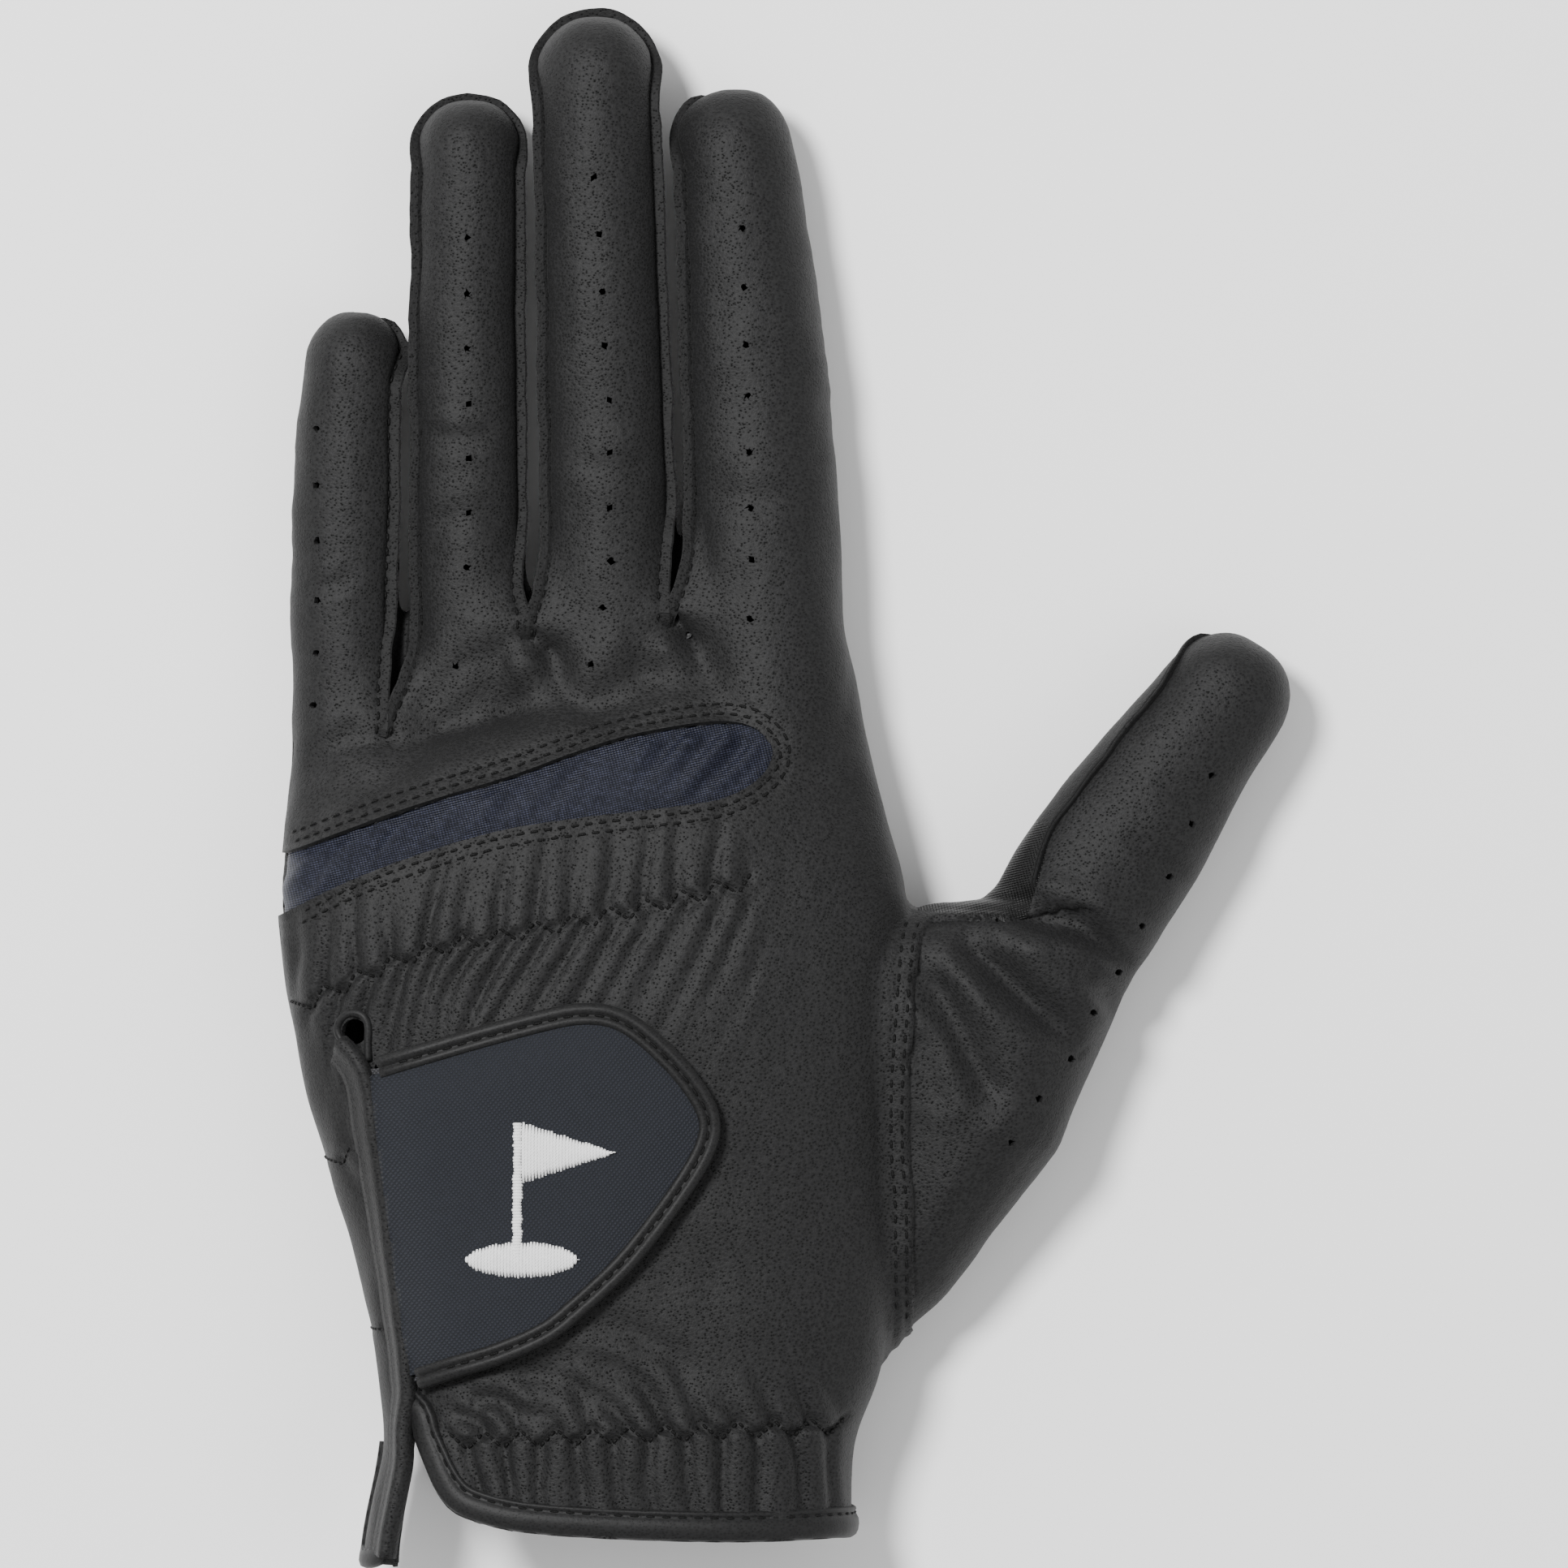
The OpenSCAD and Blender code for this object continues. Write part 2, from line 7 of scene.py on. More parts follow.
import bmesh
import bpy
import numpy as np
from mathutils import Vector
from mathutils.bvhtree import BVHTree
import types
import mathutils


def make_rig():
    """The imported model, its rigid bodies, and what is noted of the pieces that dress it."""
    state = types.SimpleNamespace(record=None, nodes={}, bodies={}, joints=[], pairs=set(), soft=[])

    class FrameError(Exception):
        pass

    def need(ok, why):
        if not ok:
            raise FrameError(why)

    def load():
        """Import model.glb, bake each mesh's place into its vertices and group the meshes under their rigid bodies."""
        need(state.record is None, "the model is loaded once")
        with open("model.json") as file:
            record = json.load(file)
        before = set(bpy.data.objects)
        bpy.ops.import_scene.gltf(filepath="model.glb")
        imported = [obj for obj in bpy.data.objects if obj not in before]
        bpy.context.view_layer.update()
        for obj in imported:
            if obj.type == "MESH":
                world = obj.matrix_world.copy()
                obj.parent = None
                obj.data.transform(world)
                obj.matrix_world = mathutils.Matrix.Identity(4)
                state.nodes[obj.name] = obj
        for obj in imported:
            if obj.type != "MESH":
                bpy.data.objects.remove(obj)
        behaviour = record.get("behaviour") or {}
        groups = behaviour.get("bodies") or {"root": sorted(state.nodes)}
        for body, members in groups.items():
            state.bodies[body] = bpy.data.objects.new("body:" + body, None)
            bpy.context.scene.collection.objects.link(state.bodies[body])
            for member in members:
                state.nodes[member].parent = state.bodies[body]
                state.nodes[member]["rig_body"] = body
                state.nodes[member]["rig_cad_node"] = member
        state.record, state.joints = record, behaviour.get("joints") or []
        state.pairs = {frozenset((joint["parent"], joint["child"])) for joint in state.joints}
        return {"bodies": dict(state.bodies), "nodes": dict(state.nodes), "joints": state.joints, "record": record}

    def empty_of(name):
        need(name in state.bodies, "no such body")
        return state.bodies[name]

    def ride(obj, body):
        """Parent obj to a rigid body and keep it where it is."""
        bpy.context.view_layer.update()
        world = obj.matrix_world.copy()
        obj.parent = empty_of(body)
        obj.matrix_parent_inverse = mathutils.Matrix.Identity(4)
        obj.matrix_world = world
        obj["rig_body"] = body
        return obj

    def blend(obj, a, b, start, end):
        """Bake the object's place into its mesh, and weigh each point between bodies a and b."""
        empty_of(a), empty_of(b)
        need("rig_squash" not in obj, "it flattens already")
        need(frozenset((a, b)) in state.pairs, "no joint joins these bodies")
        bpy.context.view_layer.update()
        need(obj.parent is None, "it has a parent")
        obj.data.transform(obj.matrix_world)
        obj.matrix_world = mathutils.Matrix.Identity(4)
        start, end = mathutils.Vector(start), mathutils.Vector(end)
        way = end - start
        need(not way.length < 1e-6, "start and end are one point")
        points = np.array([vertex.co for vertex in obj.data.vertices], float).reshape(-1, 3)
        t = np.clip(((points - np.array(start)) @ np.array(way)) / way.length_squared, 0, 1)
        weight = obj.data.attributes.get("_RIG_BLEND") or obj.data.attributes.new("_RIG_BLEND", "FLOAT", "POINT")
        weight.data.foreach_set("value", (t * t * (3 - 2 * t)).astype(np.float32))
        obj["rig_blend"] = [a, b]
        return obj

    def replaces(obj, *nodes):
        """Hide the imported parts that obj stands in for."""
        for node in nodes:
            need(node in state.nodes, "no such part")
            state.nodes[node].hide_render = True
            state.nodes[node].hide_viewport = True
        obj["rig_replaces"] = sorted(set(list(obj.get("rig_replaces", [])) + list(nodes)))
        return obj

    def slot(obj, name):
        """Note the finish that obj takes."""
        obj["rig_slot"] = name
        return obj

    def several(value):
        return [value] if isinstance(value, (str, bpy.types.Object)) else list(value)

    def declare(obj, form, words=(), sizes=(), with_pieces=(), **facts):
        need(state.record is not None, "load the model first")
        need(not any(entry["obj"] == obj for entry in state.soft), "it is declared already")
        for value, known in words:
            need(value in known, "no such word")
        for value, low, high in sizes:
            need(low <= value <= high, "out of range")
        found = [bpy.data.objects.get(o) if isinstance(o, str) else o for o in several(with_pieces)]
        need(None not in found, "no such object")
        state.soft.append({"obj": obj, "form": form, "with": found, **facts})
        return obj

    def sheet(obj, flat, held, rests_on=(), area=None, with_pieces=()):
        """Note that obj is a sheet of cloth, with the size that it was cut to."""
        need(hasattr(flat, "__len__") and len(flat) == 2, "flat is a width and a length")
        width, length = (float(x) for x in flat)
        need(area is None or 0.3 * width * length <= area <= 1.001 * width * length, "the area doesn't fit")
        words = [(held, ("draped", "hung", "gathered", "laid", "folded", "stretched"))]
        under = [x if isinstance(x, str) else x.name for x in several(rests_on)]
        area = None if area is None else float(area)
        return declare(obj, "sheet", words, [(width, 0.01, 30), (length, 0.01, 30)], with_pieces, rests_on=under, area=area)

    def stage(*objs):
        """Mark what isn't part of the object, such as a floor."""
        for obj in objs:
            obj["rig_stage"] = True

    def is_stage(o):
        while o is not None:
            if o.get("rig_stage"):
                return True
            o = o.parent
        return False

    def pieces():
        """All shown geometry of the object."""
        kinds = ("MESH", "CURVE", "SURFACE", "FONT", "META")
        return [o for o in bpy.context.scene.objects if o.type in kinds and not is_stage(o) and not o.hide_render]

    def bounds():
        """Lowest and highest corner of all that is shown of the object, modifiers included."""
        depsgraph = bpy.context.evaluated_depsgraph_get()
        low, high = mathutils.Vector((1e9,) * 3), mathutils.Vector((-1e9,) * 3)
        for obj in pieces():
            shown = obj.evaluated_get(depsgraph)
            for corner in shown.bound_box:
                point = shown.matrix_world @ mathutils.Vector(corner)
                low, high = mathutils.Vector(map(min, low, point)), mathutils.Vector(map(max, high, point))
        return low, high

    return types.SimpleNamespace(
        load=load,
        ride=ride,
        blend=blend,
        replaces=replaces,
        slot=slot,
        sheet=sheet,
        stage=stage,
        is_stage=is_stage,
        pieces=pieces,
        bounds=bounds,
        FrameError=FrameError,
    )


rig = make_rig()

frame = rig.load()
cad_low, cad_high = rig.bounds()

MM = 0.001
VOXEL = 0.75
LEATHER_T = 0.9
DIGITS = ("index", "middle", "ring", "little", "thumb")

# ---------------------------------------------------------------- curves and small maths


def unit(v):
    return v / np.maximum(np.linalg.norm(v, axis=-1, keepdims=True), 1e-9)


def smoothstep(low, high, value):
    t = np.clip((value - low) / (high - low), 0, 1)
    return t * t * (3 - 2 * t)


def spline(points, steps=8):
    """Smooth curve through a few points."""
    p = np.array(points, float)
    out = []
    for i in range(len(p) - 1):
        a, b, c, d = p[max(i - 1, 0)], p[i], p[i + 1], p[min(i + 2, len(p) - 1)]
        for k in range(steps):
            t = k / steps
            out.append(0.5 * (2 * b + (c - a) * t + (2 * a - 5 * b + 4 * c - d) * t * t
                              + (3 * b - a - 3 * c + d) * t ** 3))
    out.append(p[-1])
    return np.array(out)


def resample(points, pitch, closed=False):
    """The same curve with its points pitch apart."""
    p = np.array(points, float)
    if closed:
        p = np.vstack([p, p[:1]])
    step = np.linalg.norm(np.diff(p, axis=0), axis=1)
    along = np.concatenate([[0], np.cumsum(step)])
    count = max(int(round(along[-1] / pitch)), 2)
    at = np.linspace(0, along[-1], count + 1)
    if closed:
        at = at[:-1]
    return np.column_stack([np.interp(at, along, p[:, k]) for k in range(p.shape[1])])


def line_distance(xy, line, closed=False):
    """Distance from each point to a line in plan, and how far along the line its nearest point is."""
    line = np.array(line, float)
    if closed:
        line = np.vstack([line, line[:1]])
    best = np.full(len(xy), 1e9)
    along = np.zeros(len(xy))
    run = 0.0
    for a, b in zip(line[:-1], line[1:]):
        d = b - a
        length = float(np.hypot(*d))
        if length < 1e-9:
            continue
        t = np.clip(((xy - a) @ d) / length ** 2, 0, 1)
        away = np.linalg.norm(xy - a - t[:, None] * d, axis=1)
        nearer = away < best
        best = np.where(nearer, away, best)
        along = np.where(nearer, run + t * length, along)
        run += length
    return best, along


def inside(xy, outline):
    """Which points lie inside a closed outline in plan."""
    outline = np.array(outline, float)
    hit = np.zeros(len(xy), bool)
    for a, b in zip(outline, np.roll(outline, -1, axis=0)):
        spans = (a[1] > xy[:, 1]) != (b[1] > xy[:, 1])
        slope = (b[0] - a[0]) / (b[1] - a[1] if b[1] != a[1] else 1e-9)
        hit ^= spans & (xy[:, 0] < slope * (xy[:, 1] - a[1]) + a[0])
    return hit


def outline_field(xy, outline):
    """Signed distance to a closed outline in plan, positive inside."""
    away, _ = line_distance(xy, outline, closed=True)
    return np.where(inside(xy, outline), away, -away)


def noise(p, scale, seed):
    """Smooth seeded noise from a few turned sine waves, about -1 to 1."""
    rng = np.random.default_rng(seed)
    total = np.zeros(len(p))
    for _ in range(7):
        direction = unit(rng.normal(size=3))
        total += np.sin(p @ direction * (rng.uniform(0.6, 1.5) * 2 * math.pi / scale) + rng.uniform(0, 6.3))
    return total / 3.5

# ---------------------------------------------------------------- digits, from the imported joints


class Digit:
    """A digit's own frame: origin at its root joint, y along it, z out of its back, in millimetres."""

    def __init__(self, name):
        joints = {j["child"]: j for j in frame["joints"]}
        root, end = joints[name + "_lower"], joints[name + "_upper"]
        self.name = name
        self.x = -np.array(root["axis"], float)
        self.y = unit(np.array(end["pos_m"], float) - np.array(root["pos_m"], float))
        self.z = np.cross(self.x, self.y)
        hinge = np.array(root["pos_m"], float) / MM
        self.origin = hinge
        lower = self.points(name + "_lower")
        self.origin = hinge + self.z * (lower[:, 2].max() + lower[:, 2].min()) / 2
        lower = self.points(name + "_lower")
        upper = self.points(name + "_upper")
        self.r_root = np.abs(lower[:, 0]).max()
        self.r_tip = np.abs(upper[upper[:, 1] > upper[:, 1].max() * 0.8][:, 0]).max()
        self.length = upper[:, 1].max() - self.r_tip
        self.middle = float(np.linalg.norm(np.array(end["pos_m"]) - np.array(root["pos_m"]))) / MM
        self.drop = float(self.local(hinge[None])[0, 2])

    def points(self, body):
        nodes = frame["record"]["behaviour"]["bodies"][body]
        co = np.array([v.co for n in nodes for v in frame["nodes"][n].data.vertices]) / MM
        return self.local(co)

    def local(self, p):
        return (np.asarray(p) - self.origin) @ np.array([self.x, self.y, self.z]).T

    def world(self, p):
        return self.origin + np.asarray(p) @ np.array([self.x, self.y, self.z])

    def radius(self, y):
        return self.r_root + (self.r_tip - self.r_root) * np.clip(np.asarray(y) / self.length, -0.5, 1)

    def part(self, y):
        """The part of the digit that a place along it belongs to."""
        first, second = ZONES[self.name]
        return np.where(np.asarray(y) > (first[1] + second[0]) / 2, "end", "base")


digits = {name: Digit(name) for name in DIGITS}

# ---------------------------------------------------------------- the solid form

# Sections of the hand: left x and y, right x and y, height. Past the knuckles they slant as the
# finger roots do, and past the cuff they follow the flap.
SECTIONS = (
    (-58.2, -113, 9.6, -113, 28.5), (-57.8, -104, 9.4, -104, 29.2), (-55.4, -91, 9.8, -91, 29.4),
    (-56.2, -81, 13.3, -81, 29), (-58.9, -66.6, 15.5, -66.6, 29), (-63.6, -51, 16, -51, 29.5),
    (-67.4, -36.4, 16.8, -36.4, 30), (-69.9, -18.5, 17.4, -18.5, 29), (-69.2, -7, 13.4, -2, 26.5),
    (-68.3, -2, 10.4, 12, 22.5), (-67.8, 2.2, 9.2, 19, 18.5),
)
# The crotch between two fingers: where their upper seams meet
CROTCHES = {("little", "ring"): (-55.6, 5.2, 17.2), ("ring", "middle"): (-35.9, 19.2, 19.0),
            ("middle", "index"): (-16.3, 21.0, 19.8)}
# Seams of each digit: sides with a side strip (-1 left, 1 right), upper seam's angle above the widest
# line, and lower seam's below it
SEAMS = {"index": ((-1,), 27, 35), "middle": ((-1, 1), 27, 35), "ring": ((-1, 1), 27, 35),
         "little": ((1,), 40, 35), "thumb": ((), 32, 0)}
# How far along the fingers the seams beside a crotch take to spread to their own lines
CROTCH_RUN = 17.0
STRIP_DEPTH = 0.8
# Balls under the leather round the thumb's base: x, y and radius, resting on the ground
THUMB_BASE_BALLS = ((10, -29, 11.5), (39.6, -24, 9.2), (28, -44.8, 11.4), (14.4, -66, 9.3), (6.8, -74.5, 8.9),
                    (5, -55, 9))
# The hand's section: how square it is, how high its widest line is, and how flat it is below
SQUARENESS = 2.6
WIDEST_SHARE = 0.42
FLAT_SHARE = 1.12
# Where a digit is wider or narrower than its plain taper: share of its length, factor, shift sideways
FORM = {
    "index": ((-0.4, 1, 0), (0, 1.02, 0.5), (0.3, 1.05, 1.0), (0.6, 1.06, 1.1), (0.85, 1.0, 0.8),
              (1, 0.97, 0.5), (1.2, 0.96, 0.3)),
    "middle": ((-0.4, 1, 0), (0.1, 0.97, 0), (0.6, 0.95, 0.1), (1, 0.93, 0.1), (1.2, 0.9, -0.1)),
    "ring": ((-0.4, 1, 0), (0.1, 0.98, -0.2), (0.6, 0.99, -0.2), (0.9, 0.96, 0.3), (1.2, 0.93, 0.7)),
    "little": ((-0.4, 1, 0), (0, 1.0, 0), (0.35, 1.04, -0.4), (0.7, 1.05, -0.5), (1, 0.95, -0.2),
               (1.2, 0.9, 0)),
    "thumb": ((-0.3, 1, 0), (0, 1.06, 0.1), (0.2, 1.15, -0.3), (0.45, 1.17, -0.5), (0.7, 1.11, -0.6),
              (0.9, 1.04, -0.3), (1.2, 1.0, 0)),
}
# How far each digit's rounded tip stops short of its CAD length
TIP_SHORT = {"index": 0.4, "middle": 1.2, "ring": 0.8, "little": 0.4, "thumb": 0.2}


def bridge(rings):
    """Closed solid through rings of equally many points."""
    n = len(rings[0])
    verts = np.vstack(rings)
    faces = [list(range(n - 1, -1, -1)), [(len(rings) - 1) * n + i for i in range(n)]]
    for j in range(len(rings) - 1):
        for i in range(n):
            k = (i + 1) % n
            faces.append([j * n + i, j * n + k, (j + 1) * n + k, (j + 1) * n + i])
    return verts, faces


def hand_solid():
    """The hand without its digits, from the cuff to the knuckles."""
    angles = np.linspace(0, 2 * math.pi, 72, endpoint=False)
    across = np.sign(np.cos(angles)) * np.abs(np.cos(angles)) ** (2 / SQUARENESS)
    up = np.sign(np.sin(angles)) * np.abs(np.sin(angles)) ** (2 / SQUARENESS)
    rings = []
    for s in spline(SECTIONS, 5):
        x = (s[0] + s[2]) / 2 + (s[2] - s[0]) / 2 * across
        y = s[1] + (s[3] - s[1]) * (x - s[0]) / (s[2] - s[0])
        mid = WIDEST_SHARE * s[4]
        z = np.where(up > 0, mid + (s[4] - mid) * up, mid + mid * np.maximum(FLAT_SHARE * up, -1))
        rings.append(np.column_stack([x, y, z]))
    return bridge(rings)


def digit_solid(d):
    """A digit's tube from inside the hand to its rounded tip."""
    back = 3 if d.name == "thumb" else 24
    shares, widths, shifts = np.array(FORM[d.name]).T
    angles = np.linspace(0, 2 * math.pi, 48, endpoint=False)
    rings = [(y, d.radius(y)) for y in np.linspace(-back, d.length, 30)]
    for a in np.radians((12, 24, 36, 48, 58, 68, 78, 86)):
        rings.append((d.length + d.r_tip * math.sin(a), d.r_tip * math.cos(a) ** 0.82))
    out = []
    for y, r in rings:
        y = y - TIP_SHORT[d.name] * smoothstep(0.5, 1, y / d.length)
        width = np.interp(y / d.length, shares, widths)
        shift = np.interp(y / d.length, shares, shifts)
        across, high = r * width * np.cos(angles), r * np.sin(angles)
        # The side strips lie a little deeper than the seams that edge them
        pressed = STRIP_DEPTH * smoothstep(10, 16, y) * smoothstep(2, -3, y - d.length)
        pressed = pressed * np.exp(-((high + 1) / 3.6) ** 2)
        for side in SEAMS[d.name][0]:
            across = across - np.where(across * side > 0, side * pressed, 0)
        out.append(d.world(np.column_stack([shift + across, np.full(len(angles), y), high])))
    return bridge([ring[::-1] for ring in out])


def hull_solid(points):
    """Closed solid stretched round points."""
    bm = bmesh.new()
    for p in points:
        bm.verts.new(p)
    bmesh.ops.convex_hull(bm, input=bm.verts)
    bm.verts.index_update()
    loose = [v for v in bm.verts if not v.link_faces]
    bmesh.ops.delete(bm, geom=loose, context="VERTS")
    bm.verts.index_update()
    verts = np.array([v.co[:] for v in bm.verts])
    faces = [[v.index for v in f.verts] for f in bm.faces]
    bm.free()
    return verts, faces


BALL = np.array([(math.sin(a) * math.cos(b), math.sin(a) * math.sin(b), math.cos(a))
                 for a in np.linspace(0.26, 2.88, 11) for b in np.linspace(0, 6.02, 24)])


def thumb_base_solid():
    """The swell of the hand below the thumb."""
    thumb = digits["thumb"]
    points = [BALL * b[2] + np.array(b) for b in THUMB_BASE_BALLS]
    angles = np.linspace(0, 2 * math.pi, 32, endpoint=False)
    for y in (-3, 1):
        r = float(thumb.radius(0))
        points.append(thumb.world(np.column_stack([r * np.cos(angles), np.full(32, y), r * np.sin(angles)])))
    return hull_solid(np.vstack(points))


def crotch_seam(d, side):
    """A digit's upper seam from the crotch on that side outward, or None where it has no neighbour."""
    for (left, right), foot in CROTCHES.items():
        if d.name != (right if side < 0 else left):
            continue
        rims = []
        for digit, rim_side in ((digits[left], 1), (digits[right], -1)):
            y = digit.local(np.array([foot]))[0, 1] + CROTCH_RUN
            r, angle = float(digit.radius(y)), math.radians(SEAMS[digit.name][1])
            rims.append(digit.world((rim_side * r * math.cos(angle), y, r * math.sin(angle))))
        middle, half = (rims[0] + rims[1]) / 2, (rims[1] - rims[0]) / 2
        points = []
        for s in np.linspace(0, 1, 8):
            apart = np.clip((s - 0.2) / 0.8, 0, 1)
            away = unit(half) * 0.5 * (1 - apart) + half * apart
            points.append(np.array(foot) + (middle - foot) * s + away * (-1 if side > 0 else 1))
        return np.array(points)
    return None


def shoulder_solids():
    """Fills each finger out to its seam beside a crotch, so that the gap between two closes as a V."""
    out = []
    for d in digits.values():
        for side in (-1, 1):
            seam = crotch_seam(d, side)
            if seam is None:
                continue
            inward = -side * d.x
            near = [BALL + p + inward * 1.0 - (0, 0, 1.0) for p in seam[1:]]
            deep = [BALL * 3 + p + inward * 5 - (0, 0, 3.2) for p in seam[1:]]
            out.append(hull_solid(np.vstack(near + deep)))
    return out


def fused_skin():
    """One closed triangle skin round all the solids."""
    verts, faces, start = [], [], 0
    solids = [hand_solid(), thumb_base_solid()] + [digit_solid(d) for d in digits.values()]
    solids += shoulder_solids()
    for x, y, z in CROTCHES.values():
        balls = ((x, y - 2.4, z - 2.4, 2.2), (x + 3, y - 8, z - 5.3, 4.2), (x, y - 8, 9.5, 6),
                 (x, y + 6.5, 5.5, 2.0))
        solids.append(hull_solid(np.vstack([BALL * b[3] + np.array(b[:3]) for b in balls])))
    for v, f in solids:
        verts.append(v)
        faces += [[i + start for i in face] for face in f]
        start += len(v)
    mesh = bpy.data.meshes.new("form")
    mesh.from_pydata((np.vstack(verts) * MM).tolist(), [], faces)
    obj = bpy.data.objects.new("form", mesh)
    bpy.context.scene.collection.objects.link(obj)
    remesh = obj.modifiers.new("Remesh", "REMESH")
    remesh.mode = "VOXEL"
    remesh.voxel_size = VOXEL * MM
    triangulate = obj.modifiers.new("Triangulate", "TRIANGULATE")
    triangulate.quad_method = "SHORTEST_DIAGONAL"
    done = obj.evaluated_get(bpy.context.evaluated_depsgraph_get()).to_mesh()
    v = np.empty(len(done.vertices) * 3)
    done.vertices.foreach_get("co", v)
    f = np.empty(len(done.polygons) * 3, int)
    done.polygons.foreach_get("vertices", f)
    bpy.data.objects.remove(obj)
    bpy.data.meshes.remove(mesh)
    return v.reshape(-1, 3) / MM, f.reshape(-1, 3)


def cut_corners(f, value):
    """The triangles that value = 0 cuts, each from the corner alone on its side, and which those are."""
    sign = value[f] > 0
    n_plus = sign.sum(axis=1)
    cut = (n_plus > 0) & (n_plus < 3)
    t, s = f[cut], sign[cut]
    lone = np.where(s.sum(axis=1) == 1, s.argmax(axis=1), (~s).argmax(axis=1))
    rows = np.arange(len(t))
    return t[rows, lone], t[rows, (lone + 1) % 3], t[rows, (lone + 2) % 3], cut


class Skin:
    """A surface of triangles that can be smoothed and cut."""

    def __init__(self, v, f):
        self.v, self.f = v, f

    def normals(self):
        v, f = self.v, self.f
        face = np.cross(v[f[:, 1]] - v[f[:, 0]], v[f[:, 2]] - v[f[:, 0]])
        total = np.zeros_like(v)
        for k in range(3):
            for axis in range(3):
                total[:, axis] += np.bincount(f[:, k], face[:, axis], len(v))
        return unit(total)

    def neighbours_mean(self, values):
        total = np.zeros_like(values)
        count = np.zeros(len(self.v))
        for a, b in ((0, 1), (1, 2), (2, 0)):
            for i, j in ((a, b), (b, a)):
                count += np.bincount(self.f[:, i], minlength=len(self.v))
                for axis in range(values.shape[1]):
                    total[:, axis] += np.bincount(self.f[:, i], values[self.f[:, j], axis], len(self.v))
        return total / np.maximum(count, 1)[:, None]

    def smooth(self, rounds, weight=1.0, shrink_guard=True):
        for _ in range(rounds):
            for factor in ((0.5, -0.52) if shrink_guard else (0.5,)):
                delta = self.neighbours_mean(self.v) - self.v
                self.v = self.v + factor * delta * np.reshape(weight, (-1, 1))

    def split(self, value, where=None):
        """Cuts the triangles along value = 0, all of them or those whose corners are all in where."""
        value = np.where(np.abs(value) < 1e-5, 1e-5, value)
        can = np.ones(len(self.f), bool) if where is None else where[self.f].all(axis=1)
        a, b, c, cut = cut_corners(self.f[can], value)
        keep = np.ones(len(self.f), bool)
        keep[np.nonzero(can)[0][cut]] = False
        pairs = np.vstack([np.column_stack([a, b]), np.column_stack([a, c])])
        unique, where_unique = np.unique(np.sort(pairs, axis=1), axis=0, return_inverse=True)
        i, j = unique[:, 0], unique[:, 1]
        share = (value[i] / (value[i] - value[j]))[:, None]
        new = len(self.v) + where_unique.ravel()
        self.v = np.vstack([self.v, self.v[i] + share * (self.v[j] - self.v[i])])
        p, q = new[:len(a)], new[len(a):]
        self.f = np.vstack([self.f[keep], np.column_stack([a, p, q]), np.column_stack([p, b, c]),
                            np.column_stack([p, c, q])])

    def longest_line(self, value, mask):
        """The longest line on the surface along value = 0, among the triangles in mask."""
        value = np.where(np.abs(value) < 1e-6, 1e-6, value)
        a, b, c, _ = cut_corners(self.f[mask], value)
        links = {}
        for x, y, z in zip(a.tolist(), b.tolist(), c.tolist()):
            e1, e2 = (min(x, y), max(x, y)), (min(x, z), max(x, z))
            links.setdefault(e1, []).append(e2)
            links.setdefault(e2, []).append(e1)
        done, longest = set(), []
        for start in [e for e, near in links.items() if len(near) == 1] + list(links):
            if start in done:
                continue
            chain = [start]
            while chain[-1] not in done:
                done.add(chain[-1])
                chain += [x for x in links[chain[-1]] if x not in done][:1]
            longest = max(longest, chain, key=len)
        i, j = np.array(longest).T
        share = (value[i] / (value[i] - value[j]))[:, None]
        return self.v[i] + share * (self.v[j] - self.v[i])

# ---------------------------------------------------------------- landmarks, in millimetres, in plan

INSERT = spline([
    (-80, -12), (-68.7, -9.3), (-60.8, -6.5), (-53.7, -3.9), (-46.6, -1.6), (-37.1, 1.3), (-30.1, 3.9),
    (-23, 6.3), (-16, 7.8), (-8.9, 8.7), (-4.4, 7.9), (-1.9, 5.6), (-1.7, 3.2), (-3.9, 0.4),
    (-8.9, -2.1), (-18.3, -3.5), (-27.7, -4.6), (-39.5, -6.5), (-51.4, -10.1), (-60.8, -13.8),
    (-69, -17.8), (-80, -23)], 6)
KNUCKLE_ELASTIC = spline([(-67.5, -31), (-63.4, -29), (-50, -23.2), (-36.6, -20.5), (-20.9, -17.3),
                          (-4.1, -13.2)])
WRIST_ELASTIC = spline([(-46, -90.2), (-30, -89.6), (-10, -88.8), (8.6, -88.2)])
SIDE_ELASTICS = (((-63.5, -52.4), (-56.6, -49)), ((-57, -76), (-52.3, -72.2)))
PALM_ELASTICS = (((-58, -51), (-20, -51)), ((-50, -74), (-14, -74)))
PALM_ZIGZAGS = (((-57, -51), (-21, -51)), ((-50, -74), (-15, -74)))
ZIGZAG_PITCH = 5.0
ZIGZAG_HEIGHT = 1.5
THUMB_EDGE = spline([
    (40, -17.2), (33.6, -18.3), (26, -18.2), (21.2, -18.3), (19.4, -19.8), (18.7, -23.2), (18.1, -30.7),
    (17.4, -41.2), (17.4, -51.1), (17.9, -57.7), (18, -68), (18.1, -73.6), (17.4, -80), (15.5, -88)])
GUSSET = [(18.5, -17.4), (26, -18.1), (33.4, -18.6), (35.4, -12), (37.4, -4.8), (34, 2), (18, 2)]
SLIT_LOOP = (-59.0, -34.0)
HINGE = np.array([(-56.6, -37.4), (-50.2, -82)])
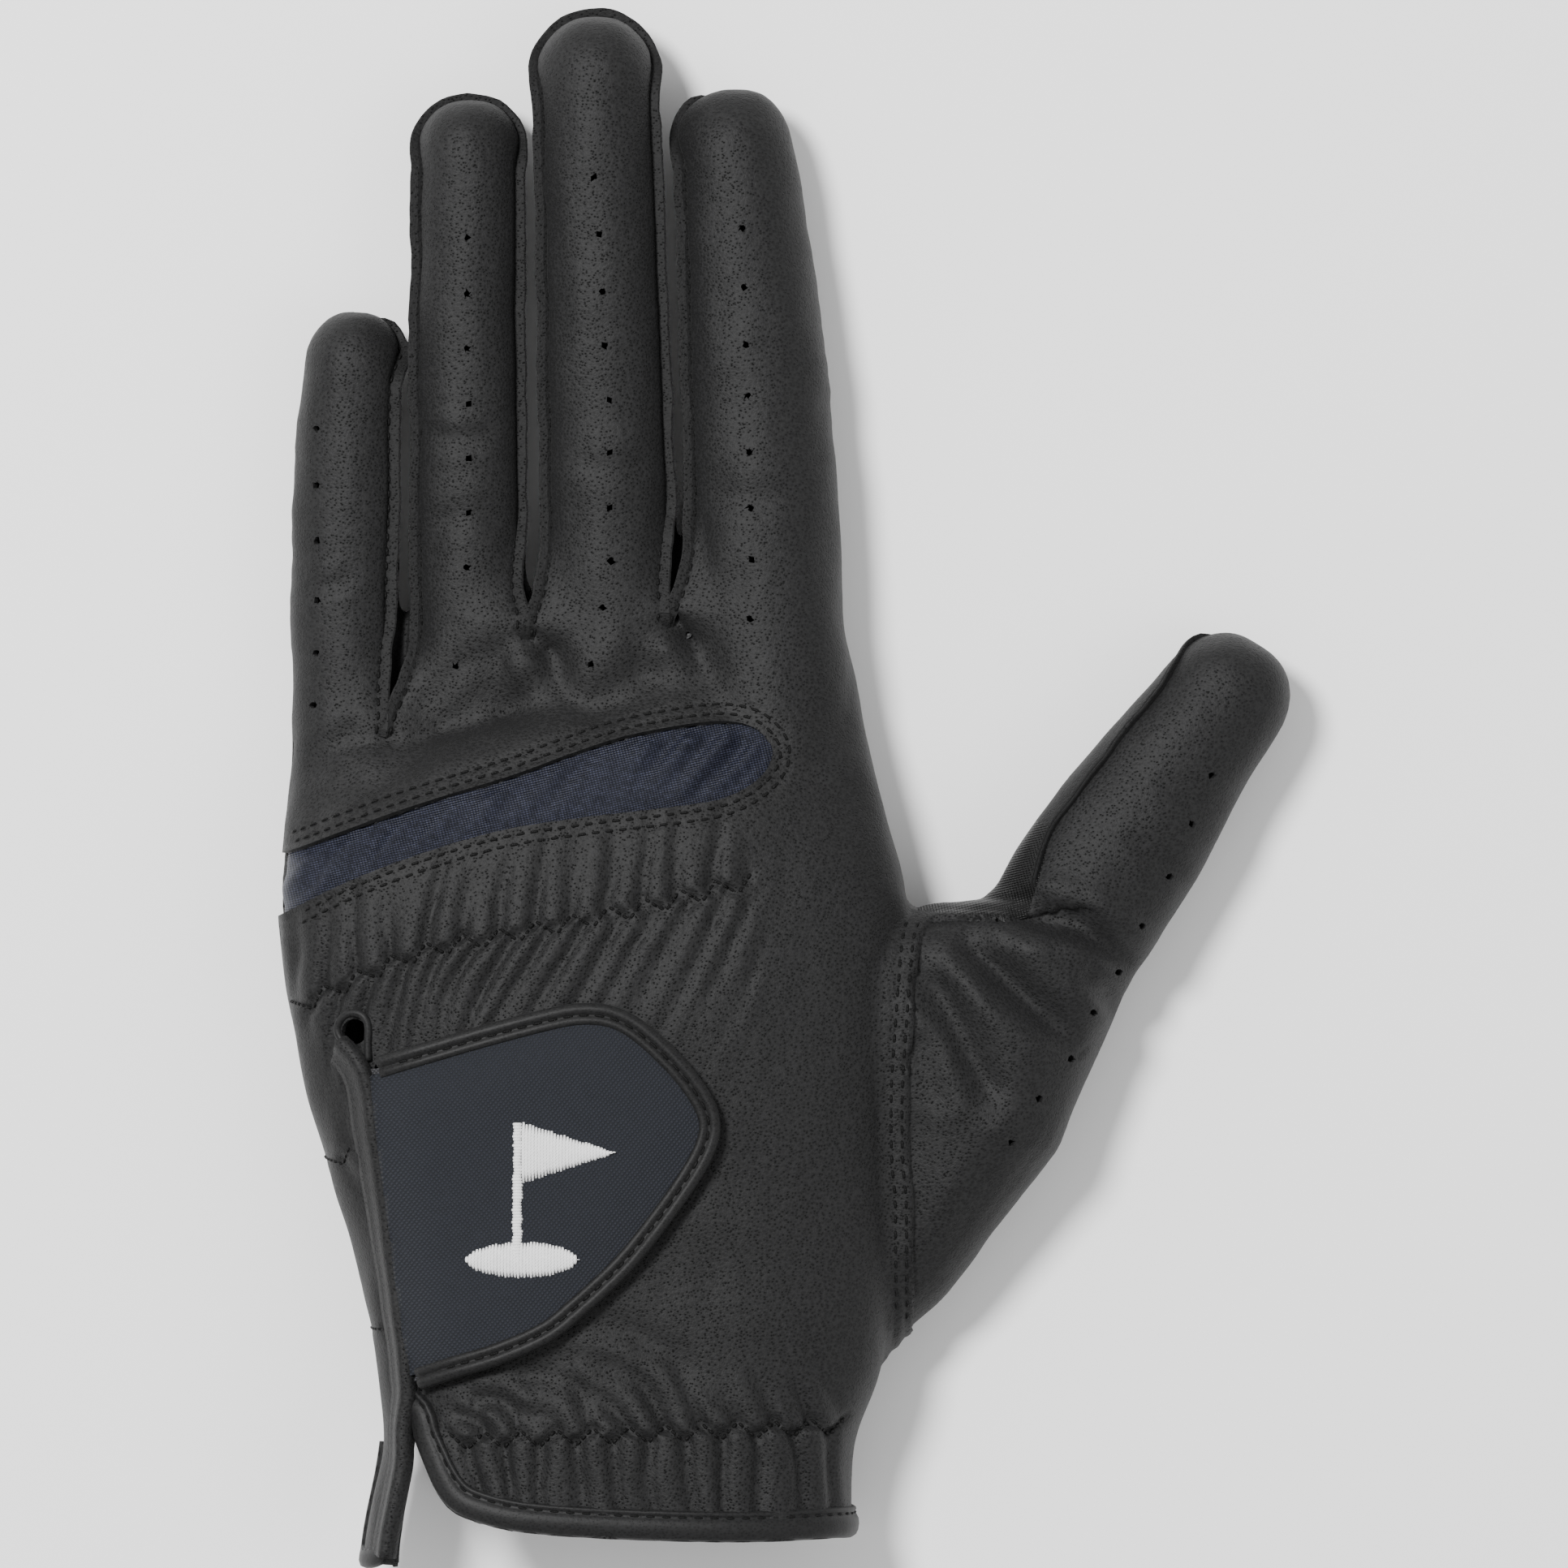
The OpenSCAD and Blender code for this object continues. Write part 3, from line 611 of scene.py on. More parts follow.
TAB = spline([
    (-56.6, -37.6), (-48.8, -35.3), (-40.2, -32.8), (-31.6, -30.6), (-27.3, -30.0), (-23, -30.5),
    (-18.8, -32.8), (-13.6, -37.7), (-10.3, -42.1), (-8.9, -45.5), (-9.1, -48.9), (-11, -53.2),
    (-15.3, -59.7), (-20.9, -66.8), (-27.3, -72.9), (-31.6, -76.4), (-38, -79.4), (-44.4, -81.5),
    (-50.2, -83.6)])
CUFF = spline([
    (-50.6, -87), (-51, -89.2), (-49.7, -92.7), (-48, -96.7), (-45.8, -99.6), (-42.6, -101.1),
    (-36.6, -102.5), (-25.4, -103.4), (-7.5, -104), (5.5, -103.8), (9.3, -103.9), (14, -103.9)])
FLAP_Z = (9.0, 23.0)
FLAP_END = -107.4
SIDE_SEAM_Z = 9.0

# Breathing holes: a row along each of ring, middle, index and little finger, and one along the thumb
HOLES = (
    (-43.7, 75.4), (-43.7, 67.6), (-43.7, 60.1), (-43.5, 52.3), (-43.4, 44.8), (-43.4, 37.5),
    (-43.8, 29.9), (-45.3, 16.2),
    (-26.2, 83.6), (-25.4, 75.7), (-25, 67.8), (-24.7, 60.4), (-24.1, 53), (-24, 45.6), (-24, 38),
    (-23.8, 30.8), (-25, 24.3), (-26.6, 16.5),
    (-5.7, 76.6), (-5.5, 68.5), (-5.3, 60.5), (-5, 53.5), (-4.8, 45.7), (-4.6, 38), (-4.5, 30.9),
    (-4.7, 22.7),
    (-64.6, 49.1), (-64.6, 41.2), (-64.5, 33.5), (-64.5, 25.4), (-64.6, 18.1), (-65, 10.9),
    (59, 1.2), (56.3, -5.6), (53.2, -12.8), (49.4, -19.6), (46.2, -26), (42.7, -31.5), (39.6, -37.9),
    (35.2, -43.3), (31.2, -49.4),
)
HOLE_R = 0.48

# Where a digit bends: along it from its root joint, first and last y of each zone
ZONES = {"index": ((-5.5, 5.5), (20, 34)), "middle": ((-6, 5), (24.5, 37.5)), "ring": ((-3.8, 5.2), (22, 34)),
         "little": ((-5, 4), (15.5, 26.5)), "thumb": ((1, 10), (15.5, 26.5))}
# How far before its root joint a digit's own skin begins
REACH = {"index": -13, "middle": -16, "ring": -22, "little": -12, "thumb": -1}


def owners(v):
    """For each point: the number of the digit that it is on, or -1, and its place in that digit's frame."""
    own = np.full(len(v), -1)
    local = np.zeros((len(v), 3))
    best = np.full(len(v), 1e9)
    for i, d in enumerate(digits.values()):
        p = d.local(v)
        over = np.maximum(p[:, 1] - d.length, 0)
        away = np.sqrt(p[:, 0] ** 2 + p[:, 2] ** 2 + over ** 2) - d.radius(p[:, 1])
        away = np.where(p[:, 1] < REACH[d.name], 1e9, away)
        nearer = away < best
        own[nearer], local[nearer], best[nearer] = i, p[nearer], away[nearer]
    own[best > 4] = -1
    return own, local


def closing(d, y):
    """1 along a digit, falling to 0 round its tip, where back and palm meet."""
    return 1 - smoothstep(d.length - 3, d.length + 0.55 * d.r_tip, y)


def strip_fields(d, p):
    """Fields over and under a digit's side strips: above > 0 is the back, below > 0 the palm."""
    _, up, down = SEAMS[d.name]
    g = closing(d, p[:, 1])
    above = p[:, 2] - g * np.abs(p[:, 0]) * math.tan(math.radians(up))
    below = -p[:, 2] - g * np.abs(p[:, 0]) * math.tan(math.radians(down))
    return above, below

# ---------------------------------------------------------------- wrinkles


def crease(v, line, depth, width, lip=0.35):
    """A fold line: a valley with a soft lip on each side, fading out at its ends."""
    line = spline(line, 6)
    away, along = line_distance(v[:, :2], line)
    total = float(np.linalg.norm(np.diff(line, axis=0), axis=1).sum())
    ends = smoothstep(0, 0.25 * total, along) * smoothstep(0, 0.25 * total, total - along)
    ends = np.maximum(ends, 0.15 * ((along > 0.5) & (along < total - 0.5)))
    return depth * ends * (-np.exp(-(away / width) ** 2) + lip * np.exp(-((away - 2.1 * width) / width) ** 2))


def gathers(v, line, above, below, slant, amplitude, sharp=0.62):
    """Puckers along a stretched zigzag seam: along the line they step with the zigzag."""
    xy = v[:, :2]
    away, along = line_distance(xy, line)
    d = np.gradient(line, axis=0)
    near = np.zeros(len(xy), int)
    best = np.full(len(xy), 1e9)
    for k in range(0, len(line), 3):
        gap = np.hypot(xy[:, 0] - line[k, 0], xy[:, 1] - line[k, 1])
        near = np.where(gap < best, k, near)
        best = np.minimum(best, gap)
    side = np.sign(d[near, 0] * (xy[:, 1] - line[near, 1]) - d[near, 1] * (xy[:, 0] - line[near, 0]))
    total = float(np.linalg.norm(np.diff(line, axis=0), axis=1).sum())
    flat = np.zeros(len(v))
    root = along - np.where(side > 0, slant[0], slant[1]) * away
    wander = 1.3 * noise(np.column_stack([root, away * 0.35, flat]), 14, 5)
    phase = root / ZIGZAG_PITCH * 2 * math.pi + np.where(side > 0, 0, math.pi)
    phase = phase + wander * smoothstep(1, 7, away)
    valley = np.exp(-(np.sin(phase / 2) / sharp) ** 2)
    vary = 1 + 0.45 * noise(np.column_stack([root, flat, flat]), 8, 11)
    reach = np.where(side > 0, above, below) * np.clip(vary, 0.45, 1.6)
    fade = np.exp(-(away / np.maximum(reach, 1)) ** 2)
    ends = smoothstep(-1, 4, along) * smoothstep(-1, 4, total - along)
    return amplitude * fade * ends * (0.5 - valley)


def zigzag(line):
    """Corner points of a zigzag along a line in plan."""
    total = float(np.linalg.norm(np.diff(line, axis=0), axis=1).sum())
    half = ZIGZAG_PITCH / 2
    fine = resample(line, total / round(total / half))
    d = unit(np.gradient(fine, axis=0))
    normal = np.column_stack([-d[:, 1], d[:, 0]])
    turn = np.where(np.arange(len(fine)) % 2 == 0, 1, -1)
    return fine + normal * (turn * ZIGZAG_HEIGHT * 0.8)[:, None]


# Folds of the leather: line, depth and width
SOFT_CREASES = (
    (((-38, 16.8), (-44, 11), (-51, 4.5), (-57, -1.5), (-62, -5)), 1.0, 2.4),
    (((-42, 19), (-47.5, 13.5), (-53, 7.5)), 0.6, 1.9),
    (((-29, 19), (-34, 13), (-41, 8.0), (-47, 3)), 0.75, 2.6),
    (((-17.3, 18.5), (-22.5, 13.3), (-30, 9.0)), 0.7, 2.5),
    (((-57, 3), (-62, -1.5), (-67, -4.5)), 0.6, 1.8),
    (((-58.5, 10), (-62.5, 4), (-67.5, -0.5)), 0.5, 1.9),
    (((-33, -77), (-24, -74.5), (-15, -79), (-8, -85)), 0.45, 2.0),
    (((-40, -82.5), (-33, -81), (-26, -84), (-21, -88.5)), 0.75, 1.5),
    (((-44, -84.5), (-38, -85), (-32.5, -88.8)), 0.8, 1.2),
    (((-46.5, -86.3), (-42, -87.4), (-38.5, -89.5)), 0.7, 0.9),
    (((-37, -80), (-29.5, -78.6), (-20, -82), (-14.5, -88.3)), 0.6, 1.5),
    (((31, -18.0), (36, -18.3), (41, -19.8), (46, -23.5), (49.5, -27)), 1.9, 1.9),
    (((21.5, -19.2), (24.5, -21), (28, -24.3), (32.5, -28.6), (37, -32.6), (41, -38)), 1.9, 2.2),
    (((19.5, -23.5), (21, -27.5), (23.5, -33), (27, -40), (30.5, -46)), 1.4, 2.2),
    (((40, -24.5), (44, -28), (46.5, -31), (48, -34)), 1.0, 1.4),
    (((18.6, -33), (20.5, -40), (23, -46)), 0.6, 1.8),
    (((-58, 30), (-62, 27.5), (-67, 27)), 0.25, 1.2),
    (((-38, 50), (-44, 47.5), (-51, 49)), 0.35, 1.3),
    (((-37, 35.5), (-43, 37.5), (-50, 35.5)), 0.3, 1.6),
    (((-16, 46), (-23, 43.5), (-31, 45)), 0.25, 1.5),
    (((4, 42), (-3, 39.5), (-12, 40.5)), 0.25, 1.8),
    (((47, -6), (52, -10.5), (57, -12.5)), 0.35, 1.4),
    (((50.5, 2), (56, -2), (62.5, -3.5)), 0.3, 1.5),
)


def wrinkles(v, n):
    """How far each point of the smooth skin moves out of it."""
    up = smoothstep(-0.1, 0.5, n[:, 2])
    own, local = owners(v)
    on_digit = (own >= 0) & (local[:, 1] > 0)
    out = 0.16 * noise(v, 16, 1) + 0.07 * noise(v, 6.5, 2)
    back = (v[:, 1] < 3) & (v[:, 1] > -108) & (v[:, 0] < 20)
    puckers = np.where(v[:, 0] > -2, 0, gathers(v, KNUCKLE_ELASTIC, 8.0, 11.0, (0.38, -0.8), 1.3))
    puckers = puckers + gathers(v, WRIST_ELASTIC, 5.0, 19, (-0.35, 0.05), 1.35)
    out = out + up * back * puckers * ~inside(v[:, :2], np.vstack([INSERT, INSERT[:1]]))
    for points in SIDE_ELASTICS:
        line = resample(np.array(points, float), 0.6)
        out = out + smoothstep(-0.6, 0.2, n[:, 2]) * gathers(v, line, 5, 5, (0, 0), 0.7)
    for line, depth, width in SOFT_CREASES:
        out = out + up * crease(v, line, depth, width)
    # Small cross folds in the slack leather of the digits, stronger on their palm side
    for i, d in enumerate(digits.values()):
        if d.name == "thumb":
            continue
        mine = (own == i) & on_digit
        y = local[:, 1]
        bendy = np.exp(-((y - d.middle) / 9) ** 2)
        bendy = bendy + 0.6 * np.exp(-((y - 0.68 * (d.length + d.r_tip)) / 6) ** 2)
        low = smoothstep(0.2, -0.7, n[:, 2])
        wave = np.sin(y * 2 * math.pi / 4.2 + 1.5 * noise(v, 14, 20 + i))
        out = out + mine * 0.3 * bendy * wave * (0.12 + low)
    return out

# ---------------------------------------------------------------- cutting the skin


def hole_distance(v):
    away = [np.hypot(v[:, 0] - x, v[:, 1] - y) for x, y in HOLES]
    return np.minimum.reduce(away)


def hand_hem_field(v):
    """Positive on the leather, negative past the cuff."""
    xy = v[:, :2]
    line = np.vstack([[(-90, CUFF[0, 1])], CUFF, [(60, CUFF[-1, 1])]])
    away, _ = line_distance(xy, line)
    above = inside(xy, np.vstack([line, [(120, -103.9), (120, 200), (-90, 200)]]))
    return np.where(above, away, -away)


def hem_field(v):
    """The same with the flap, which hangs past the cuff."""
    flap = np.minimum.reduce([v[:, 2] - FLAP_Z[0], FLAP_Z[1] - v[:, 2], v[:, 1] - FLAP_END, -50 - v[:, 0]])
    return np.maximum(hand_hem_field(v), flap)


def insert_field(v):
    """Positive on the knuckle insert."""
    away, _ = line_distance(v[:, :2], INSERT)
    return np.where(inside(v[:, :2], INSERT), away, -away)


def thumb_field(v):
    """Positive on the thumb's base panel."""
    away, _ = line_distance(v[:, :2], THUMB_EDGE)
    right = inside(v[:, :2], np.vstack([THUMB_EDGE, [(15.5, -120), (90, -120), (90, -17.2)]]))
    return np.where(right, away, -away)


# The cut under the tab, and the side panel beyond it
SLIT = [(-57.7, -36.2), (-56.4, -37.2), (-50.2, -82), (-50.4, -88), (-49.8, -84), (-48.8, -78), (-54.6, -41),
        (-57.0, -36.4)]
SIDE_EDGE = [(-120, -34), SLIT_LOOP, *HINGE, (-50.7, -88), (-50.7, -130), (-120, -130)]


def slit_field(v):
    """Positive in the slit and in the round loop at its upper end."""
    loop = 1.75 - np.hypot(v[:, 0] - SLIT_LOOP[0], v[:, 1] - SLIT_LOOP[1])
    return np.maximum(loop, outline_field(v[:, :2], SLIT))


def side_field(v):
    """Positive on the side panel."""
    return outline_field(v[:, :2], SIDE_EDGE)


def cuts(skin):
    """Cuts the skin along every seam, edge and hole."""
    for r in (1.0, HOLE_R):
        skin.split(r - hole_distance(skin.v), (skin.normals()[:, 2] > 0.1) & (skin.v[:, 2] > 7))
    skin.split(hem_field(skin.v))
    skin.split(insert_field(skin.v), skin.v[:, 2] > SIDE_SEAM_Z - 0.5)
    skin.split(thumb_field(skin.v), (skin.v[:, 1] < -5) & (skin.v[:, 0] > 8))
    skin.split(outline_field(skin.v[:, :2], GUSSET), skin.v[:, 1] < 5)
    skin.split(slit_field(skin.v), (skin.v[:, 2] > SIDE_SEAM_Z - 0.5) & (skin.normals()[:, 2] > 0.1))
    skin.split(side_field(skin.v), (skin.v[:, 2] > SIDE_SEAM_Z - 2) & (skin.v[:, 0] < -40))
    own, local = owners(skin.v)
    skin.split(skin.v[:, 2] - SIDE_SEAM_Z, (own < 0) | (local[:, 1] < 0))
    for i, d in enumerate(digits.values()):
        sides = SEAMS[d.name][0]
        first, second = ZONES[d.name]
        for y in (first[0], (first[1] + second[0]) / 2):
            own, local = owners(skin.v)
            skin.split(local[:, 1] - y, (own == i) & (np.abs(local[:, 1] - y) < 3))
        for k in (0, 1) if sides else ():
            own, local = owners(skin.v)
            seamed = np.any([local[:, 0] * side > -0.3 for side in sides], axis=0)
            skin.split(strip_fields(d, local)[k], (own == i) & seamed)


def labels(skin, normals):
    """The panel that each triangle belongs to, or an empty name where it is cut away."""
    c = skin.v[skin.f].mean(axis=1)
    facing = normals[skin.f].mean(axis=1)[:, 2]
    own, local = owners(c)
    high = c[:, 2] > SIDE_SEAM_Z
    name = np.full(len(c), "palm_leather", dtype=object)
    name[high] = "back_leather"
    name[high & (side_field(c) > 0)] = "side_leather"
    name[(thumb_field(c) > 0) & (c[:, 0] > 14)] = "thumb_base_leather"
    gusset = (outline_field(c[:, :2], GUSSET) > 0) & (c[:, 0] > 17)
    name[gusset] = "web_gusset"
    name[high & (insert_field(c) > 0)] = "knit"
    name[high & (facing > 0.1) & (slit_field(c) > 0)] = ""
    for i, d in enumerate(digits.values()):
        sides = SEAMS[d.name][0]
        above, below = strip_fields(d, local)
        strip = np.zeros(len(c), bool)
        for side in sides:
            foot = d.local(crotch_seam(d, side)[:1])[0, 1]
            back_of_crotch = (facing > 0.2) & (local[:, 1] < foot + 3)
            strip |= (local[:, 0] * side > 0) & (above < 0) & (below < 0) & ~back_of_crotch
        part = d.part(local[:, 1])
        if d.name == "thumb":
            piece = np.where(gusset & (part == "base"), "gusset", "sleeve")
        elif len(sides) == 2:
            piece = np.where(strip, "strips", np.where(above > 0, "back", "palm"))
        else:
            piece = np.where(strip, "strips", "sleeve")
        on = (own == i) & (local[:, 1] > ZONES[d.name][0][0])
        name[on] = [f"{d.name}_{a}_{b}" for a, b in zip(piece[on], part[on])]
        if d.name != "thumb":
            crotch = (own == i) & ~on & strip & (local[:, 1] > REACH[d.name] + 2)
            name[crotch & (np.abs(local[:, 0]) > 0.45 * d.r_root)] = "strip_roots"
    name[(hole_distance(c) < HOLE_R) & (facing > 0.1) & (c[:, 2] > 7)] = ""
    name[hem_field(c) < 0] = ""
    return name

# ---------------------------------------------------------------- meshes


def mesh_object(name, verts, faces, materials, normals=None, face_materials=None, smooth=True):
    """An object from vertices in millimetres."""
    mesh = bpy.data.meshes.new(name)
    verts = np.asarray(verts, float) * MM
    sizes = np.array([len(f) for f in faces], np.int32)
    mesh.vertices.add(len(verts))
    mesh.vertices.foreach_set("co", verts.ravel())
    mesh.loops.add(int(sizes.sum()))
    mesh.loops.foreach_set("vertex_index", np.concatenate([np.asarray(f, np.int32) for f in faces]))
    mesh.polygons.add(len(sizes))
    mesh.polygons.foreach_set("loop_start", np.concatenate([[0], np.cumsum(sizes)[:-1]]).astype(np.int32))
    for m in materials:
        mesh.materials.append(m)
    if face_materials is not None:
        mesh.polygons.foreach_set("material_index", np.asarray(face_materials, np.int32))
    mesh.update(calc_edges=True)
    mesh.validate()
    mesh.polygons.foreach_set("use_smooth", np.full(len(mesh.polygons), smooth))
    if normals is not None:
        mesh.normals_split_custom_set_from_vertices(normals.tolist())
    obj = bpy.data.objects.new(name, mesh)
    bpy.context.scene.collection.objects.link(obj)
    return obj


def panel(name, skin, normals, chosen, thickness, materials, lining=True):
    """One panel of the skin with its thickness: outside, cut edges and, where it shows, its inside."""
    used, f = np.unique(skin.f[chosen], return_inverse=True)
    f = f.reshape(-1, 3)
    v, n = skin.v[used], normals[used]
    directed = np.vstack([f[:, [0, 1]], f[:, [1, 2]], f[:, [2, 0]]])
    _, first, counts = np.unique(np.sort(directed, axis=1), axis=0, return_index=True, return_counts=True)
    a, b = directed[first[counts == 1]].T
    inner = v - n * thickness
    verts, norms, faces, marks = [v], [n], [*f], [0] * len(f)
    if lining:
        verts.append(inner)
        norms.append(-n)
        faces += [*(f[:, ::-1] + len(v))]
        marks += [1] * len(f)
    corner = np.arange(len(a)) + len(v) * len(verts)
    verts += [v[a], v[b], inner[a], inner[b]]
    norms += [unit(np.cross(v[b] - v[a], n[a]))] * 4
    faces += [*np.column_stack([corner, corner + 2 * len(a), corner + 3 * len(a), corner + len(a)])]
    marks += [0] * len(a)
    return mesh_object(name, np.vstack(verts), faces, materials, np.vstack(norms), marks)


def swept(path, up, profile):
    """Vertices and faces of a strip or roll along a path: profile is (across, height) points."""
    path, up = np.asarray(path, float), np.asarray(up, float)
    t = unit(np.gradient(path, axis=0))
    side = unit(np.cross(t, up))
    up = unit(np.cross(side, t))
    profile = np.asarray(profile, float)
    x, y = profile[:, 0], profile[:, 1]
    if np.sum(x * np.roll(y, -1) - np.roll(x, -1) * y) < 0:
        profile = profile[::-1]
    m, n = len(profile), len(path)
    verts = (path[:, None, :] + side[:, None, :] * profile[None, :, 0, None]
             + up[:, None, :] * profile[None, :, 1, None]).reshape(-1, 3)
    faces = []
    for i in range(n - 1):
        for j in range(m):
            k = (j + 1) % m
            faces.append((i * m + j, i * m + k, (i + 1) * m + k, (i + 1) * m + j))
    faces.append(tuple(range(m - 1, -1, -1)))
    faces.append(tuple((n - 1) * m + j for j in range(m)))
    return verts, faces


class Surface:
    """The finished skin, to lay things on. Each search gives points on it and their normals."""

    def __init__(self, skin, normals):
        self.tree = BVHTree.FromPolygons(skin.v.tolist(), skin.f.tolist())
        self.n = normals
        self.f = skin.f

    def found(self, hits):
        points = np.array([hit[0][:] for hit in hits])
        return points, np.array([unit(self.n[self.f[hit[2]]].mean(axis=0)) for hit in hits])

    def drop(self, xy, below=False):
        """Straight under points in plan, or over them."""
        hits = []
        for x, y in np.asarray(xy):
            hit = self.tree.ray_cast(Vector((x, y, -5 if below else 60)), Vector((0, 0, 1 if below else -1)))
            hits.append(hit if hit[0] else self.tree.find_nearest(Vector((x, y, 12))))
        return self.found(hits)

    def side(self, yz):
        """On the little finger's side, at heights along it."""
        rays = [Vector((-120, y, z)) for y, z in np.asarray(yz)]
        return self.found([self.tree.ray_cast(ray, Vector((1, 0, 0))) for ray in rays])

    def snap(self, p):
        """Nearest to points in space."""
        return self.found([self.tree.find_nearest(Vector(q)) for q in np.asarray(p)])


def softened(values, rounds):
    """A path's values, averaged with their neighbours."""
    values = np.array(values, float)
    for _ in range(rounds):
        middle = (values[:-2] + 2 * values[1:-1] + values[2:]) / 4
        values = np.vstack([values[:1], middle, values[-1:]])
    return values


def stitches(points, normals, length=1.35, pitch=2.1, radius=0.17, lift=0.06):
    """Thread on the surface along a path: one short rounded dash for each stitch."""
    step = np.linalg.norm(np.diff(points, axis=0), axis=1)
    along = np.concatenate([[0], np.cumsum(step)])
    at = lambda s, of: np.array([np.interp(s, along, of[:, k]) for k in range(3)])
    count = int((along[-1] - length) / pitch) + 1
    verts, faces = [], []
    ring = np.linspace(0, 2 * math.pi, 6, endpoint=False)
    for i in range(max(count, 1)):
        s0 = i * pitch + 0.1
        rows = []
        up = unit(at(s0 + length / 2, normals))
        ahead = unit(at(s0 + length, points) - at(s0, points))
        side = unit(np.cross(ahead, up))
        for share, size, high in ((0, 0.55, -0.22), (0.18, 0.95, lift), (0.5, 1.0, lift + 0.05),
                                  (0.82, 0.95, lift), (1, 0.55, -0.22)):
            c = at(s0 + share * length, points) + up * high
            rows.append(c + radius * size * (np.cos(ring)[:, None] * side + np.sin(ring)[:, None] * up))
        k = len(verts) * 30
        verts.append(np.vstack(rows))
        for r in range(4):
            for j in range(6):
                j2 = (j + 1) % 6
                faces.append((k + r * 6 + j, k + r * 6 + j2, k + (r + 1) * 6 + j2, k + (r + 1) * 6 + j))
        faces.append(tuple(k + j for j in range(5, -1, -1)))
        faces.append(tuple(k + 24 + j for j in range(6)))
    return np.vstack(verts), faces


def joined(parts):
    """Several (verts, faces) as one."""
    verts, faces, start = [], [], 0
    for v, f in parts:
        verts.append(v)
        faces += [tuple(i + start for i in face) for face in f]
        start += len(v)
    return np.vstack(verts), faces

# ---------------------------------------------------------------- materials


class Look:
    """A node material: a Principled shader and a few short ways to wire it."""

    def __init__(self, name, **values):
        self.material = bpy.data.materials.new(name)
        self.material.use_nodes = True
        self.tree = self.material.node_tree
        self.shader = self.tree.nodes["Principled BSDF"]
        for socket, value in values.items():
            self.shader.inputs[socket.replace("_", " ")].default_value = value
        self.place = self.node("ShaderNodeTexCoord").outputs["Object"]

    def node(self, kind, **settings):
        node = self.tree.nodes.new(kind)
        for key, value in settings.items():
            if key in node.inputs:
                node.inputs[key].default_value = value
            else:
                setattr(node, key, value)
        return node

    def link(self, a, b):
        self.tree.links.new(a, b)

    def mapped(self, scale=(1, 1, 1), turn=0.0):
        node = self.node("ShaderNodeMapping")
        node.inputs["Scale"].default_value = scale
        node.inputs["Rotation"].default_value = (0, 0, turn)
        self.link(self.place, node.inputs["Vector"])
        return node.outputs["Vector"]

    def noise(self, scale, vector=None, detail=3.0, roughness=0.55):
        node = self.node("ShaderNodeTexNoise", Scale=scale, Detail=detail, Roughness=roughness)
        self.link(vector or self.place, node.inputs["Vector"])
        return node.outputs["Fac"]

    def cells(self, scale, vector=None, randomness=0.9):
        node = self.node("ShaderNodeTexVoronoi", feature="F1", Scale=scale, Randomness=randomness)
        self.link(vector or self.place, node.inputs["Vector"])
        return node.outputs["Distance"]

    def wave(self, scale, turn=0.0, distortion=0.0, direction="X"):
        node = self.node("ShaderNodeTexWave", bands_direction=direction, Scale=scale, Distortion=distortion)
        self.link(self.mapped(turn=turn), node.inputs["Vector"])
        return node.outputs["Fac"]

    def maths(self, kind, a, b):
        node = self.node("ShaderNodeMath", operation=kind)
        for socket, value in zip(node.inputs, (a, b)):
            if isinstance(value, (int, float)):
                socket.default_value = value
            else:
                self.link(value, socket)
        return node.outputs[0]

    def ramp(self, value, stops):
        node = self.node("ShaderNodeValToRGB")
        elements = node.color_ramp.elements
        while len(elements) < len(stops):
            elements.new(0.5)
        for element, (position, colour) in zip(elements, stops):
            element.position = position
            element.color = (*colour, 1)
        self.link(value, node.inputs["Fac"])
        return node.outputs["Color"]

    def colour(self, value, stops):
        self.link(self.ramp(value, stops), self.shader.inputs["Base Color"])

    def bump(self, *layers):
        """Layers of (height, distance in metres, strength)."""
        last = None
        for height, distance, strength in layers:
            node = self.node("ShaderNodeBump", Distance=distance, Strength=strength)
            self.link(height, node.inputs["Height"])
            if last:
                self.link(last, node.inputs["Normal"])
            last = node.outputs["Normal"]
        self.link(last, self.shader.inputs["Normal"])


def grey(v, blue=1.0):
    return (v, v, v * blue)


def leather_look(name, dark, light, roughness=0.6, grain=2600, depth=0.0002, pores=0.9):
    """Pored leather: dark pits between pebbles, stretched a little across the hand."""
    look = Look(name, Roughness=roughness, Specular_IOR_Level=0.2, Sheen_Weight=0.02, Sheen_Roughness=0.5)
    cells = look.cells(grain, look.mapped((0.72, 1.0, 1.0), 0.25))
    fine = look.noise(grain * 1.6, detail=2)
    broad = look.noise(55, detail=4)
    tone = look.maths("ADD", cells, look.maths("MULTIPLY", broad, 0.2))
    look.colour(tone, ((0.2, grey(dark * 0.1)), (0.42, grey(dark, 1.03)), (0.85, grey(light, 1.02))))
    pits = look.ramp(cells, ((0.0, grey(0.0)), (0.28, grey(0.85)), (1.0, grey(1.0))))
    height = look.maths("ADD", look.maths("MULTIPLY", pits, pores), look.maths("MULTIPLY", fine, 0.35))
    look.bump((height, depth, 1.0), (look.noise(420, detail=3), 0.0002, 0.4))
    return look.material


